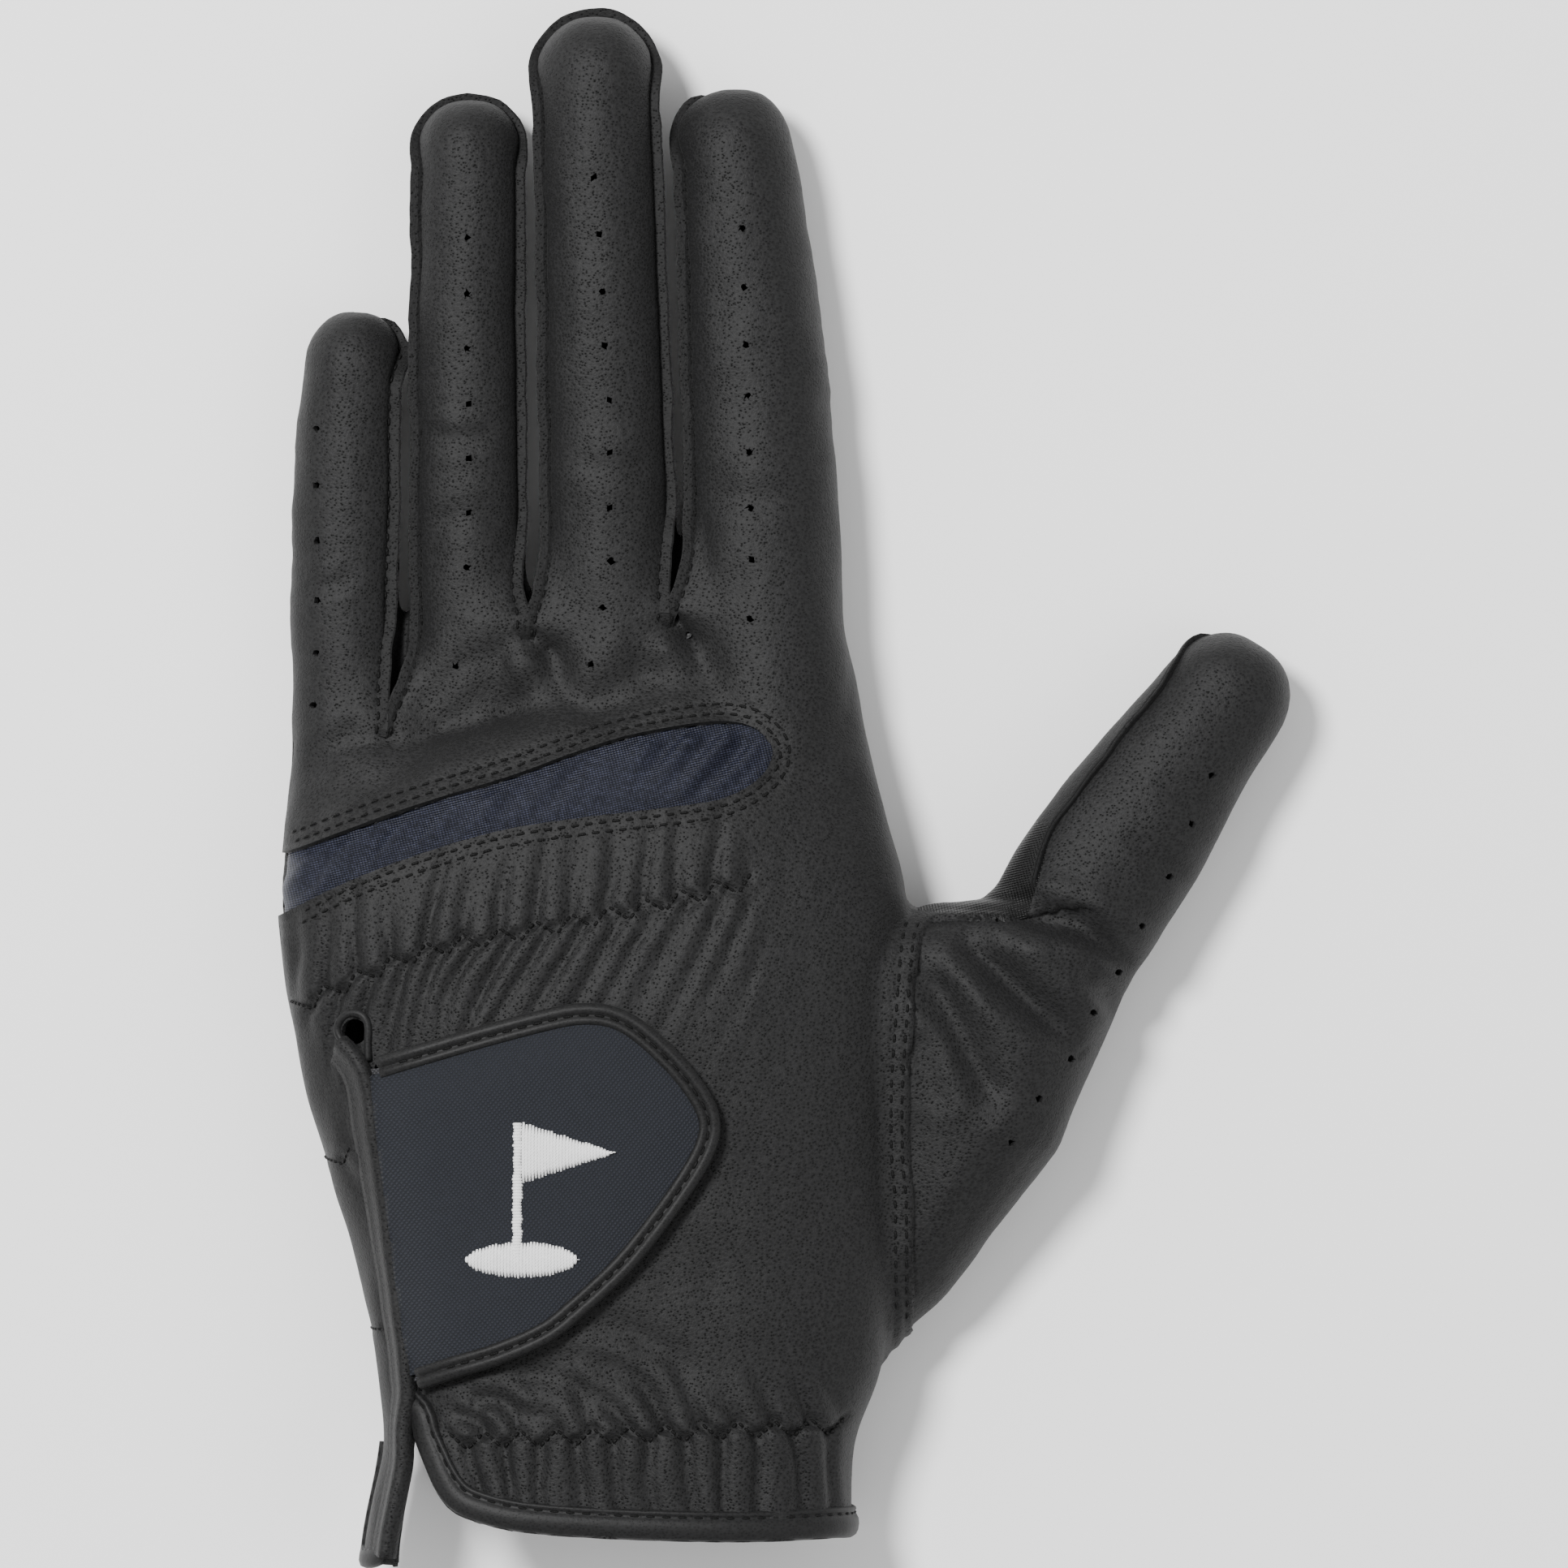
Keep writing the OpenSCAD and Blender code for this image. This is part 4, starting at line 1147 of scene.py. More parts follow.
def knit_look(name, tones_and_painted_highlight, sheen):
    """Fine knit with rows that slant a little, as the insert does."""
    tint = (0.5, 0.55, 0.9, 1)
    look = Look(name, Roughness=0.5, Specular_IOR_Level=0.2, Sheen_Weight=sheen, Sheen_Tint=tint)
    turn = -math.radians(14)
    rows = look.wave(1000, turn, 0.6, "Y")
    loops = look.wave(800, turn, 1.2, "X")
    weave = look.maths("ADD", look.maths("MULTIPLY", rows, 0.65), look.maths("MULTIPLY", loops, 0.35))
    tone = look.maths("MULTIPLY", weave, look.noise(1300, detail=3, roughness=0.7))
    # The ramp's last and brightest tone, where weave and noise peak on the thread crests, is a painted highlight; the
    # lower tones are the knit's own colour
    look.colour(tone, tuple(zip((0.05, 0.3, 0.6), tones_and_painted_highlight)))
    look.bump((weave, 0.00014, 0.8), (look.noise(260), 0.0002, 0.3))
    return look.material


def textile_look(name, low, high, size):
    """Plain weave, turned to the tab's run."""
    look = Look(name, Roughness=0.78, Specular_IOR_Level=0.3, Sheen_Weight=0.03)
    across = look.wave(640 * size, math.radians(38), 0.5, "X")
    along = look.wave(640 * size, math.radians(38), 0.5, "Y")
    weave = look.maths("MULTIPLY", across, along)
    tone = look.maths("ADD", weave, look.maths("MULTIPLY", look.noise(900, detail=3), 0.3))
    look.colour(tone, ((0.1, low), (0.95, high)))
    look.bump((weave, 0.00016, 0.9), (look.noise(2400), 0.00005, 0.5))
    return look.material


def thread_look(name, dark, light, roughness=0.6):
    """Twisted thread."""
    look = Look(name, Roughness=roughness, Specular_IOR_Level=0.15, Sheen_Weight=0.02)
    twist = look.wave(1500, math.radians(30), 1.0)
    fuzz = look.maths("MULTIPLY", look.noise(1800), 0.5)
    tone = look.maths("ADD", look.maths("MULTIPLY", twist, 0.6), fuzz)
    look.colour(tone, ((0.2, dark), (0.9, light)))
    look.bump((twist, 0.00006, 0.6))
    return look.material


def pile_look(name, dark, light, size):
    """Hooks or loops of a fastener."""
    look = Look(name, Roughness=0.85, Specular_IOR_Level=0.3, Sheen_Weight=0.3)
    tufts = look.cells(size, None, 1.0)
    look.colour(look.maths("ADD", tufts, look.maths("MULTIPLY", look.noise(size * 2), 0.3)),
                ((0.1, light), (0.8, dark)))
    look.bump((tufts, 0.0004, 1.0), (look.noise(size * 3), 0.0001, 0.5))
    return look.material


leather = leather_look("leather", 0.0052, 0.0115)
leather_sides = leather_look("side_leather", 0.004, 0.007, 0.65)
leather_trim = leather_look("binding_leather", 0.006, 0.0095, 0.55, 3000, 0.00005, 0.4)
leather_inside = leather_look("leather_inside", 0.035, 0.055, 0.85, 3200, 0.00008, 0.3)
# The last tone of each knit is a painted highlight on its thread crests
knit = knit_look("stretch_knit", ((0.0015, 0.002, 0.004), (0.006, 0.007, 0.014), (0.036, 0.040, 0.066)), 0.02)
gusset_knit = knit_look("gusset_knit", (grey(0.001), grey(0.0035), grey(0.010)), 0.0)
textile = textile_look("woven_textile", (0.003, 0.004, 0.0065), (0.014, 0.016, 0.023), 1.0)
lining = textile_look("lining", (0.02, 0.02, 0.022), (0.06, 0.06, 0.066), 1.3)
elastic = thread_look("elastic", grey(0.03), grey(0.08))
# The thread is black, and its colour is set darker than the leather as painted shade of the stitch holes
thread = thread_look("thread", grey(0.0012), grey(0.004))
white_thread = thread_look("embroidery", grey(0.62), grey(0.9), 0.5)
loop_pile = pile_look("loop_pile", grey(0.012), grey(0.05), 1500)
hook_nylon = pile_look("hook_nylon", grey(0.01), grey(0.06), 1100)

# ---------------------------------------------------------------- the glove


def finish_piece(obj, where, material_slot, nodes=()):
    """where is a body, or a digit and its part: the base bends at the root joint and the end at the other."""
    if where in ("hand", "tab"):
        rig.ride(obj, where)
    else:
        name, part = where
        d = digits[name]
        zone = ZONES[name][0 if part == "base" else 1]
        start, end = (tuple(d.world((0, y, d.drop)) * MM) for y in zone)
        bodies = ("hand", name + "_lower") if part == "base" else (name + "_lower", name + "_upper")
        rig.blend(obj, *bodies, start, end)
    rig.slot(obj, material_slot)
    if nodes:
        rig.replaces(obj, *nodes)
    return obj


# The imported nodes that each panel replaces
NODES = {
    "back_leather": "back_panel", "palm_leather": "palm_panel", "side_leather": "side_panel",
    "thumb_base_leather": "thumb_base_panel", "web_gusset": "thumb_web_gusset",
    "strip_roots": "fourchette_roots", "thumb_sleeve_base": "thumb_sleeve_lower",
    "thumb_sleeve_end": "thumb_sleeve_upper",
    "thumb_gusset_base": "thumb_gusset_lower",
}
for part, body in (("base", "lower"), ("end", "upper")):
    for digit in ("index", "little"):
        NODES[f"{digit}_sleeve_{part}"] = f"{digit}_sleeve_{body}"
        NODES[f"{digit}_strips_{part}"] = f"{digit}_fourchette_{body}"
    for digit in ("middle", "ring"):
        NODES[f"{digit}_back_{part}"] = f"{digit}_back_{body}"
        NODES[f"{digit}_palm_{part}"] = f"{digit}_palm_{body}"
        NODES[f"{digit}_strips_{part}"] = f"{digit}_fourchettes_{body}"


def seam_grooves(v, n):
    """How far the seams and stitch rows press each point of the skin in, as a negative distance."""
    out = np.zeros(len(v))
    up = n[:, 2] > 0.05
    edge = insert_field(v)
    out -= 0.22 * np.exp(-((edge + 1.0) / 0.45) ** 2) * up + 0.18 * np.exp(-((edge + 2.3) / 0.45) ** 2) * up
    thumb = thumb_field(v)
    near = (v[:, 1] < -10) & (v[:, 0] > 8)
    out -= near * 0.25 * (np.exp(-((thumb + 1.1) / 0.4) ** 2) + np.exp(-((thumb + 2.6) / 0.4) ** 2))
    out -= near * 0.75 * (thumb > -0.05) * smoothstep(5, 0, thumb)
    for line in (KNUCKLE_ELASTIC, WRIST_ELASTIC):
        away, _ = line_distance(v[:, :2], zigzag(line))
        out -= 0.42 * np.exp(-(away / 0.5) ** 2) * up
    out -= 0.4 * ((np.abs(v[:, 2] - SIDE_SEAM_Z) < 0.02) & (v[:, 1] < 6))
    own, local = owners(v)
    for i, d in enumerate(digits.values()):
        above, _ = strip_fields(d, local)
        sided = np.zeros(len(v))
        for side in SEAMS[d.name][0]:
            foot = d.local(crotch_seam(d, side)[:1])[0, 1]
            sided = np.maximum(sided, (local[:, 0] * side > -0.2) * smoothstep(4, 12, local[:, 1] - foot))
        out -= 0.5 * (own == i) * sided * np.exp(-((above - 0.3) / 0.5) ** 2)
    return out


base = Skin(*fused_skin())
base.smooth(6)
root_weight = np.zeros(len(base.v))
for d in digits.values():
    local = d.local(base.v)
    weight = np.exp(-((local[:, 1] + 4) / 9) ** 2) * (np.hypot(local[:, 0], local[:, 2]) < d.r_root + 5)
    root_weight = np.maximum(root_weight, weight * (1.6 if d.name == "thumb" else 1.0))
for x, y, z in CROTCHES.values():
    root_weight += 1.2 * np.exp(-(np.linalg.norm(base.v - (x + 2, y - 7, z - 2), axis=1) / 6) ** 2)
base.smooth(30, np.clip(root_weight, 0, 1), shrink_guard=False)
smooth_normals = base.normals()
smooth_surface = Surface(base, smooth_normals)
skin = Skin(base.v + smooth_normals * wrinkles(base.v, smooth_normals)[:, None], base.f)
skin.smooth(1)
cuts(skin)
normals = skin.normals()
skin.v = skin.v + normals * seam_grooves(skin.v, normals)[:, None]
normals = skin.normals()
surface = Surface(skin, normals)

names = labels(skin, normals)
for name in sorted(set(names) - {"", "knit"}):
    where, outside, slot = "hand", leather, "leather"
    if "strip" in name:
        outside, slot = leather_sides, "side_leather"
    if "gusset" in name:
        outside, slot = gusset_knit, "stretch_knit"
    words = name.split("_")
    if words[0] in DIGITS and words[-1] in ("base", "end"):
        where = (words[0], words[-1])
    obj = panel(name, skin, normals, names == name, LEATHER_T, [outside, leather_inside], where == "hand")
    finish_piece(obj, where, slot, (NODES[name],))

# The stretch panel over the knuckles lies a little lower than the leather and runs on under its edge
UNDERLAP = 2.6
knit_skin = Skin(base.v, base.f)
knit_skin.split(insert_field(knit_skin.v) + UNDERLAP, knit_skin.v[:, 2] > SIDE_SEAM_Z - 1)
knit_skin.split(knit_skin.v[:, 2] - SIDE_SEAM_Z)
centres = knit_skin.v[knit_skin.f].mean(axis=1)
chosen = (insert_field(centres) > -UNDERLAP) & (centres[:, 2] > SIDE_SEAM_Z)
x, y = knit_skin.v[:, 0], knit_skin.v[:, 1]
fold = np.sin((x * 0.75 - y * 0.62) * 2 * math.pi / 3.7 + 0.8 * noise(knit_skin.v, 12, 7))
fold = 0.5 * fold * smoothstep(-24, -12, x) + 0.22 * fold * smoothstep(-20, -30, x)
fold = fold + 0.3 * noise(np.column_stack([x * 1.4 - y * 1.2, y * 0.5 + x * 0.3, x * 0]), 7, 8)
deep = smoothstep(0.4, 2.2, insert_field(knit_skin.v))
knit_skin.v = knit_skin.v + knit_skin.normals() * (-0.95 + 0.15 * deep + fold * deep)[:, None]
finish_piece(panel("knuckle_knit", knit_skin, knit_skin.normals(), chosen, 0.5, [knit, lining]), "hand",
             "stretch_knit", ("knuckle_insert",))

# ---------------------------------------------------------------- stitching on the hand


def sewn(name, lines, where="hand", material=thread, material_slot="thread", **how):
    parts = [stitches(p, n, **how) for p, n in lines if len(p) > 2]
    verts, faces = joined(parts)
    return finish_piece(mesh_object(name, verts, faces, [material]), where, material_slot)


def offset_line(line, by):
    d = unit(np.gradient(line, axis=0))
    return line + np.column_stack([-d[:, 1], d[:, 0]]) * by


def zigzag_legs(line, below=False):
    """The straight runs of a zigzag, laid on the skin."""
    corners = zigzag(line)
    share = np.linspace(0.02, 0.98, 8)[:, None]
    return [surface.drop(a + (b - a) * share, below) for a, b in zip(corners[:-1], corners[1:])]


def straight(ends, pitch):
    return resample(np.array(ends, float), pitch)


insert_edge = resample(INSERT[INSERT[:, 0] > -68.6], 0.5)
insert_rows = [surface.drop(resample(offset_line(insert_edge, gap), 0.5)) for gap in (1.0, 2.3)]
sewn("knuckle_panel_stitching", insert_rows, pitch=1.9, length=1.3, radius=0.2)

for name, line in (("knuckle_zigzag", KNUCKLE_ELASTIC), ("wrist_zigzag", WRIST_ELASTIC)):
    sewn(name, zigzag_legs(line), pitch=1.15, length=1.0, radius=0.22, lift=0.08)

thumb_rows = []
for below, last_y in ((False, -74.5), (True, -71)):
    for gap in (1.1, 2.6):
        row = offset_line(resample(THUMB_EDGE, 0.5), -gap)
        row = row[(row[:, 1] < -18.5 - gap * 0.1) & (row[:, 1] > last_y)]
        thumb_rows.append(surface.drop(row, below))
sewn("thumb_seam_stitching", thumb_rows, pitch=2.1, length=1.35, radius=0.2)

# ---------------------------------------------------------------- side seams' raw double edges

SEAM_EDGE = [(0.7, 0.1), (-0.25, 0.4), (-1.15, 0.5), (-1.38, 0.4), (-1.38, 0.1), (-1.1, 0.0), (-1.32, -0.1),
             (-1.32, -0.4), (-1.1, -0.52), (-0.25, -0.48), (0.7, -0.4)]
SEAM_PITCH = 0.9
# Where the thumb's seam comes out of the web gusset, in plan
THUMB_SEAM_FOOT = [(33.7, -17.2), (34.6, -13), (36.0, -8.6)]
# First and last angle of each seam round its digit's tip; the others go right round, from 180 to 0
TIP_TURN = {"index": (180, 96), "little": (80, 0), "thumb": (180, 112)}


def seam_side(d, side):
    """A digit's upper seam along one side, from the hand to the tip, as local points."""
    up_angle = math.radians(SEAMS[d.name][1])
    crotch = crotch_seam(d, side)
    run = [] if crotch is None else list(d.local(crotch))
    if d.name == "thumb":
        run = list(d.local(surface.drop(THUMB_SEAM_FOOT)[0]))
    for y in np.arange(run[-1][1] + 3, d.length - 2, 3.0):
        r = float(d.radius(y))
        run.append(np.array((side * r * math.cos(up_angle), y, r * math.sin(up_angle))))
    return run


def seam_path(d, sides):
    """A digit's upper seam: up its left side, round the tip and down its right side, as local points."""
    first, last = TIP_TURN.get(d.name, (180, 0))
    tip = []
    for a in np.radians(np.arange(first, last - 1, -12.0)):
        x, y = math.cos(a) * d.r_tip, d.length + math.sin(a) * d.r_tip
        z = float(closing(d, np.array(y))) * abs(x) * math.tan(math.radians(SEAMS[d.name][1]))
        p = np.array((x, y - d.length, z))
        tip.append(p / np.linalg.norm(p) * d.r_tip + (0, d.length, 0))
    left = seam_side(d, -1) if -1 in sides else []
    right = seam_side(d, 1)[::-1] if 1 in sides else []
    return resample(spline(left + tip + right, 5), SEAM_PITCH)


def pieces_along(d, ys):
    """Runs of a path that lie on one piece: where it is, first index and last."""
    parts = ["hand" if y < ZONES[d.name][0][0] else (d.name, str(d.part(y))) for y in ys]
    begin = 0
    for i in range(1, len(parts) + 1):
        if i == len(parts) or parts[i] != parts[begin]:
            stop = min(i + 1, len(parts))
            if stop - begin > 3:
                yield parts[begin], slice(begin, stop)
            begin = i


for d in digits.values():
    sides = SEAMS[d.name][0] or (-1,)
    local = seam_path(d, sides)
    points, seam_normals = surface.snap(d.world(local))
    points = softened(points, 4)
    seam_normals = unit(softened(seam_normals, 6))
    t = unit(np.gradient(points, axis=0))
    up = np.tile(d.z, (len(points), 1))
    profile = SEAM_EDGE
    if d.name == "thumb":
        # The thumb's seam stands up from its back
        up = unit(np.cross(seam_normals, t))
        up = up * np.sign(up @ d.z)[:, None]
        profile = [(0.7 * a, 0.8 * b) for a, b in SEAM_EDGE]
    out = -unit(np.cross(t, up))
    # An end that meets no other seam sinks into the leather, and one at a crotch goes down into it
    begun = np.arange(len(points)) * SEAM_PITCH
    left = begun[-1] - begun
    sink, low = np.zeros(len(points)), np.zeros(len(points))
    for side, run, other in ((-1, begun, left), (1, left, begun)):
        if side in sides and d.name != "thumb":
            low += 1.6 * (1 - smoothstep(0, 2.6, run))
        if sides == (side,):
            sink += 2.2 * (1 - smoothstep(0, 5, other))
    if d.name == "thumb":
        sink += 2.2 * (1 - smoothstep(0, 5, begun))
    points = points - up * low[:, None]
    wave = 0.10 * noise(points, 5, 31) + 0.05 * noise(points, 2.2, 32)
    line = points + out * (wave - 0.15 - sink)[:, None]
    row = points - out * (0.45 + sink)[:, None] + up * 0.40
    row_normals = unit(seam_normals + up)
    edges, threads = {}, {}
    for where, run in pieces_along(d, local[:, 1]):
        edges.setdefault(where, []).append(swept(line[run], up[run], profile))
        threads.setdefault(where, []).append(stitches(row[run], row_normals[run], 1.3, 2.0, 0.2, 0.03))
    for where in edges:
        tail = "roots" if where == "hand" else where[1]
        edge = mesh_object(f"{d.name}_seam_edge_{tail}", *joined(edges[where]), [leather_sides], smooth=False)
        finish_piece(edge, where, "side_leather")
        sewing = mesh_object(f"{d.name}_seam_thread_{tail}", *joined(threads[where]), [thread])
        finish_piece(sewing, where, "thread")

# ---------------------------------------------------------------- cuff, slit and flap


def rolled(name, path, up, profile, material, where, material_slot, nodes=()):
    verts, faces = swept(path, up, profile)
    return finish_piece(mesh_object(name, verts, faces, [material]), where, material_slot, nodes)


hem = base.longest_line(hand_hem_field(base.v), (base.v[base.f][:, :, 1] < -80).all(axis=1))
hem = resample(hem, 0.9, closed=True)
# The binding leaves out the flap, so its path starts and ends there
gap = (hem[:, 0] < -52.4) & (hem[:, 2] > FLAP_Z[0] - 0.5) & (hem[:, 2] < FLAP_Z[1] + 0.5)
last_gap = np.nonzero(~gap)[0][0] - 1 if gap[0] and gap[-1] else np.nonzero(gap)[0][-1]
hem = np.roll(hem, -(last_gap + 1), axis=0)
hem = hem[~np.roll(gap, -(last_gap + 1))]
hem = softened(hem, 4)
_, hem_up = smooth_surface.snap(hem)
hem_up = unit(softened(hem_up, 10))
middle = int(np.argmax(hem[:, 2] + (np.abs(hem[:, 0] + 20) < 10) * 50))
t = np.gradient(hem, axis=0)
if np.cross(t[middle], hem_up[middle])[1] < 0:
    hem, hem_up = hem[::-1], hem_up[::-1]
CUFF_SHIFT = 0.85
CUFF_ROLL = [(-0.45, -0.9), (-0.8, -0.4), (-0.8, 0.2), (-0.5, 0.65), (0.1, 0.92), (0.9, 1.05), (1.7, 0.98),
             (2.2, 0.7), (2.45, 0.42), (2.7, 0.5), (2.95, 0.66), (3.2, 0.6), (3.4, 0.3), (3.4, -0.2),
             (3.2, -1.2), (2.0, -1.5), (0.4, -1.45)]
verts, faces = swept(hem, hem_up, [(a + CUFF_SHIFT, b) for a, b in CUFF_ROLL])
verts[:, 2] = np.maximum(verts[:, 2], 0.0)
finish_piece(mesh_object("cuff_binding_tape", verts, faces, [leather_trim]), "hand", "binding_leather",
             ("cuff_binding",))
across = unit(np.cross(np.gradient(hem, axis=0), hem_up))
row = hem + across * (2.5 + CUFF_SHIFT) + hem_up * 0.42
sewn("cuff_binding_stitching", [(row, hem_up)], pitch=2.2, length=1.45)

rim_plan = spline([(-60.4, -35.2), (-58.2, -37.2), (-56.9, -39.8), (-55.9, -46), (-54.1, -58), (-52.4, -70),
                   (-51.2, -79), (-50.9, -84.2), (-51.6, -88)], 8)
rim_a, rim_a_up = smooth_surface.drop(resample(rim_plan, 0.8))
flap_yz = resample(spline([(-91, 23), (-95, 23), (-100, 23), (-106.4, 22.6)], 6), 0.8)
rim_b, rim_b_up = smooth_surface.side(flap_yz)
rim = softened(np.vstack([rim_a, rim_b]), 6)
rim_up = unit(softened(np.vstack([rim_a_up, rim_b_up]), 10))
rim = rim + rim_up * (0.12 * noise(rim, 7, 41))[:, None]
RIM = [(-0.9, 0.7), (-0.85, 1.5), (-0.35, 2.1), (0.4, 2.2), (1.1, 1.85), (1.8, 1.25), (2.5, 0.65), (3.3, 0.2),
       (4.1, -0.15), (3.3, -0.6), (0.5, -0.6), (-0.6, -0.3)]
rolled("slit_rim", rim, rim_up, RIM, leather, "hand", "leather")

loop = spline([(-57.1, -38.2), (-58.9, -36.5), (-60.9, -34.7), (-61.2, -33.3), (-60.4, -31.9), (-58.9, -31.3),
               (-57.4, -31.9), (-56.9, -33.4), (-57.0, -35.6), (-56.9, -37.9)], 6)
loop_points, loop_up = smooth_surface.drop(resample(loop, 0.5))
EDGE_ROLL = [(0.55 * math.cos(a), 0.35 + 0.6 * math.sin(a)) for a in np.linspace(0, 2 * math.pi, 11)[:-1]]
rolled("slit_loop_binding", softened(loop_points, 2), loop_up, EDGE_ROLL, leather_trim, "hand",
       "binding_leather", ("slit_binding",))

upper_edge = [(y, 22.2) for y in np.arange(-92, -105, -2.0)]
lower_edge = [(y, 9.4) for y in np.arange(-105, -89, 2.0)]
flap_edge = np.array(upper_edge + [(-106.6, 21), (-107.2, 17), (-107.2, 13), (-106.6, 10)] + lower_edge)
flap_points, flap_up = smooth_surface.side(resample(spline(flap_edge, 4), 0.8))
flap_up = unit(softened(flap_up, 6))
FLAP_ROLL = [(-0.7, -0.9), (-0.95, -0.2), (-0.7, 0.5), (0, 0.75), (0.8, 0.7), (1.5, 0.45), (1.75, 0.1),
             (1.7, -0.9), (0.6, -1.2)]
flap_path = softened(flap_points, 4)
t = np.gradient(flap_path, axis=0)
inward = np.cross(t, flap_up)[5]
flip = -1 if inward[2] > 0 else 1
rolled("flap_binding", flap_path, flap_up, [(flip * a, b) for a, b in FLAP_ROLL], leather_trim, "hand",
       "binding_leather")
side = unit(np.cross(t, flap_up)) * flip
row = flap_path + side * 1.5 + flap_up * 0.3
sewn("flap_stitching", [(row, flap_up)], pitch=2.1, length=1.35, lift=-0.05)

# ---------------------------------------------------------------- elastics inside

BAND = [(-2.5, -0.4), (2.5, -0.4), (2.5, 0.4), (-2.5, 0.4)]


def under_skin(points, ups):
    """An elastic's path: below the skin and puckered by its zigzag."""
    pucker = 0.25 * np.sin(np.arange(len(points)) * 1.2 * 2 * math.pi / 2.5)
    return points - ups * (1.9 + pucker)[:, None]


for name, line, node in (("knuckle_elastic_band", KNUCKLE_ELASTIC, "knuckle_elastic"),
                         ("wrist_elastic_band", WRIST_ELASTIC, "wrist_elastic")):
    points, ups = smooth_surface.drop(resample(line, 1.2))
    rolled(name, under_skin(softened(points, 3), ups), ups, BAND, elastic, "hand", "elastic", (node,))
parts = []
for ends in PALM_ELASTICS:
    points, ups = smooth_surface.drop(straight(ends, 1.2), below=True)
    parts.append(swept(under_skin(points, ups), ups, BAND))
verts, faces = joined(parts)
bands = mesh_object("palm_elastic_bands", verts, faces, [elastic])
finish_piece(bands, "hand", "elastic", ("palm_elastics",))
palm_legs = [leg for ends in PALM_ZIGZAGS for leg in zigzag_legs(straight(ends, 0.5), True)]
side_legs = [leg for ends in SIDE_ELASTICS for leg in zigzag_legs(straight(ends, 0.5))]
sewn("palm_zigzags", palm_legs, pitch=1.15, length=1.0, radius=0.18, lift=0.1)
sewn("side_zigzags", side_legs, pitch=1.15, length=1.0, radius=0.16, lift=0.08)

# ---------------------------------------------------------------- closure tab


def plan_sheet(outline, pitch):
    """A flat grid of triangles over an outline."""
    low, high = np.min(outline, axis=0) - 1, np.max(outline, axis=0) + 1
    xs, ys = np.arange(low[0], high[0] + pitch, pitch), np.arange(low[1], high[1] + pitch, pitch)
    gx, gy = np.meshgrid(xs, ys)
    n = len(xs)
    a = (np.arange(len(ys) - 1)[:, None] * n + np.arange(n - 1)[None, :]).ravel()
    v = np.column_stack([gx.ravel(), gy.ravel(), np.zeros(gx.size)])
    halves = np.column_stack([a, a + 1, a + n + 1]), np.column_stack([a, a + n + 1, a + n])
    return Skin(v, np.vstack(halves))


def tab_field(v, inset):
    """Positive where a sheet of the tab lies: inset is its distance from the tab's outline."""
    away, _ = line_distance(v[:, :2], TAB)
    return np.minimum(away - inset, outline_field(v[:, :2], np.vstack([TAB, TAB[:1]])))


def tab_rise(xy):
    """Share of its full height that the tab has: it comes up from under the slit's rim."""
    away, _ = line_distance(xy, HINGE)
    return smoothstep(-3, 7, away)


def laid(name, field, heights, thickness, materials, where, material_slot, nodes, pitch=0.9):
    """A sheet of the tab, cut to a field, with its outer face at heights above the skin."""
    sheet = plan_sheet(TAB, pitch)
    sheet.split(field(sheet.v))
    chosen = field(sheet.v[sheet.f].mean(axis=1)) > 0
    used = np.unique(sheet.f[chosen])
    points, ups = smooth_surface.drop(sheet.v[used, :2])
    sheet.v[used] = points + ups * heights(sheet.v[used])[:, None]
    obj = panel(name, sheet, sheet.normals(), chosen, thickness, materials)
    finish_piece(obj, where, material_slot, nodes)


def fabric_height(v):
    edge, _ = line_distance(v[:, :2], TAB)
    return 1.35 + tab_rise(v[:, :2]) * 1.15 + 0.45 * smoothstep(2, 9, edge) + 0.04 * noise(v, 9, 51)


def patch_field(inset):
    """A fastener's patch: it stops short of the tab's left end."""
    return lambda v: np.minimum(tab_field(v, inset), v[:, 0] + 43)


def underside_height(v):
    return 0.55 + 1.2 * tab_rise(v[:, :2])


laid("tab_textile", lambda v: tab_field(v, 2.3), fabric_height, 0.55, [textile, lining], "tab",
     "woven_textile", ("tab_fabric",))
laid("tab_underside", lambda v: tab_field(v, 1.6), underside_height, 0.4, [lining, lining], "tab",
     "lining", ("tab_lining",), 1.2)
laid("hook_fastener", patch_field(5.5), lambda v: 1.3 + 0 * v[:, 0], 0.7, [hook_nylon, hook_nylon], "tab",
     "hook_nylon", ("hook_patch",), 1.2)
laid("loop_fastener", patch_field(4.6), lambda v: 0.5 + 0.05 * noise(v, 5, 61), 0.6, [loop_pile, loop_pile],
     "hand", "loop_pile", ("loop_patch",), 1.0)

TAB_ROLL = [(0.0, 1.75), (0.05, 2.45), (0.4, 3.0), (0.95, 3.2), (1.4, 3.0), (1.62, 2.62), (1.82, 2.62),
            (2.05, 2.9), (2.45, 3.0), (2.85, 2.86), (3.05, 2.5), (2.9, 2.1), (2.5, 1.2), (1.2, 0.95),
            (0.3, 1.15)]
tab_line = resample(TAB, 0.8)[2:-2]
tab_points, tab_up = smooth_surface.drop(tab_line)
tab_up = unit(softened(tab_up, 8))
low = (1 - tab_rise(tab_line)) * 0.9
path = softened(tab_points, 2) - tab_up * low[:, None]
rolled("tab_edge_binding", path, tab_up, TAB_ROLL, leather_trim, "tab", "binding_leather", ("tab_binding",))
across = unit(np.cross(np.gradient(path, axis=0), tab_up))
row = path + across * 1.72 + tab_up * 2.66
sewn("tab_stitching", [(row[3:-3], tab_up[3:-3])], "tab", pitch=2.15, length=1.5, radius=0.19)

root_points, root_up = smooth_surface.drop(resample(HINGE, 1.5))
ROOT_STRIP = [(0.2, -1.2), (5.0, -1.2), (5.0, -2.0), (0.2, -2.0)]
rolled("tab_root", softened(root_points, 3), root_up, ROOT_STRIP, textile, "hand", "woven_textile",
       ("tab_root_strip",))

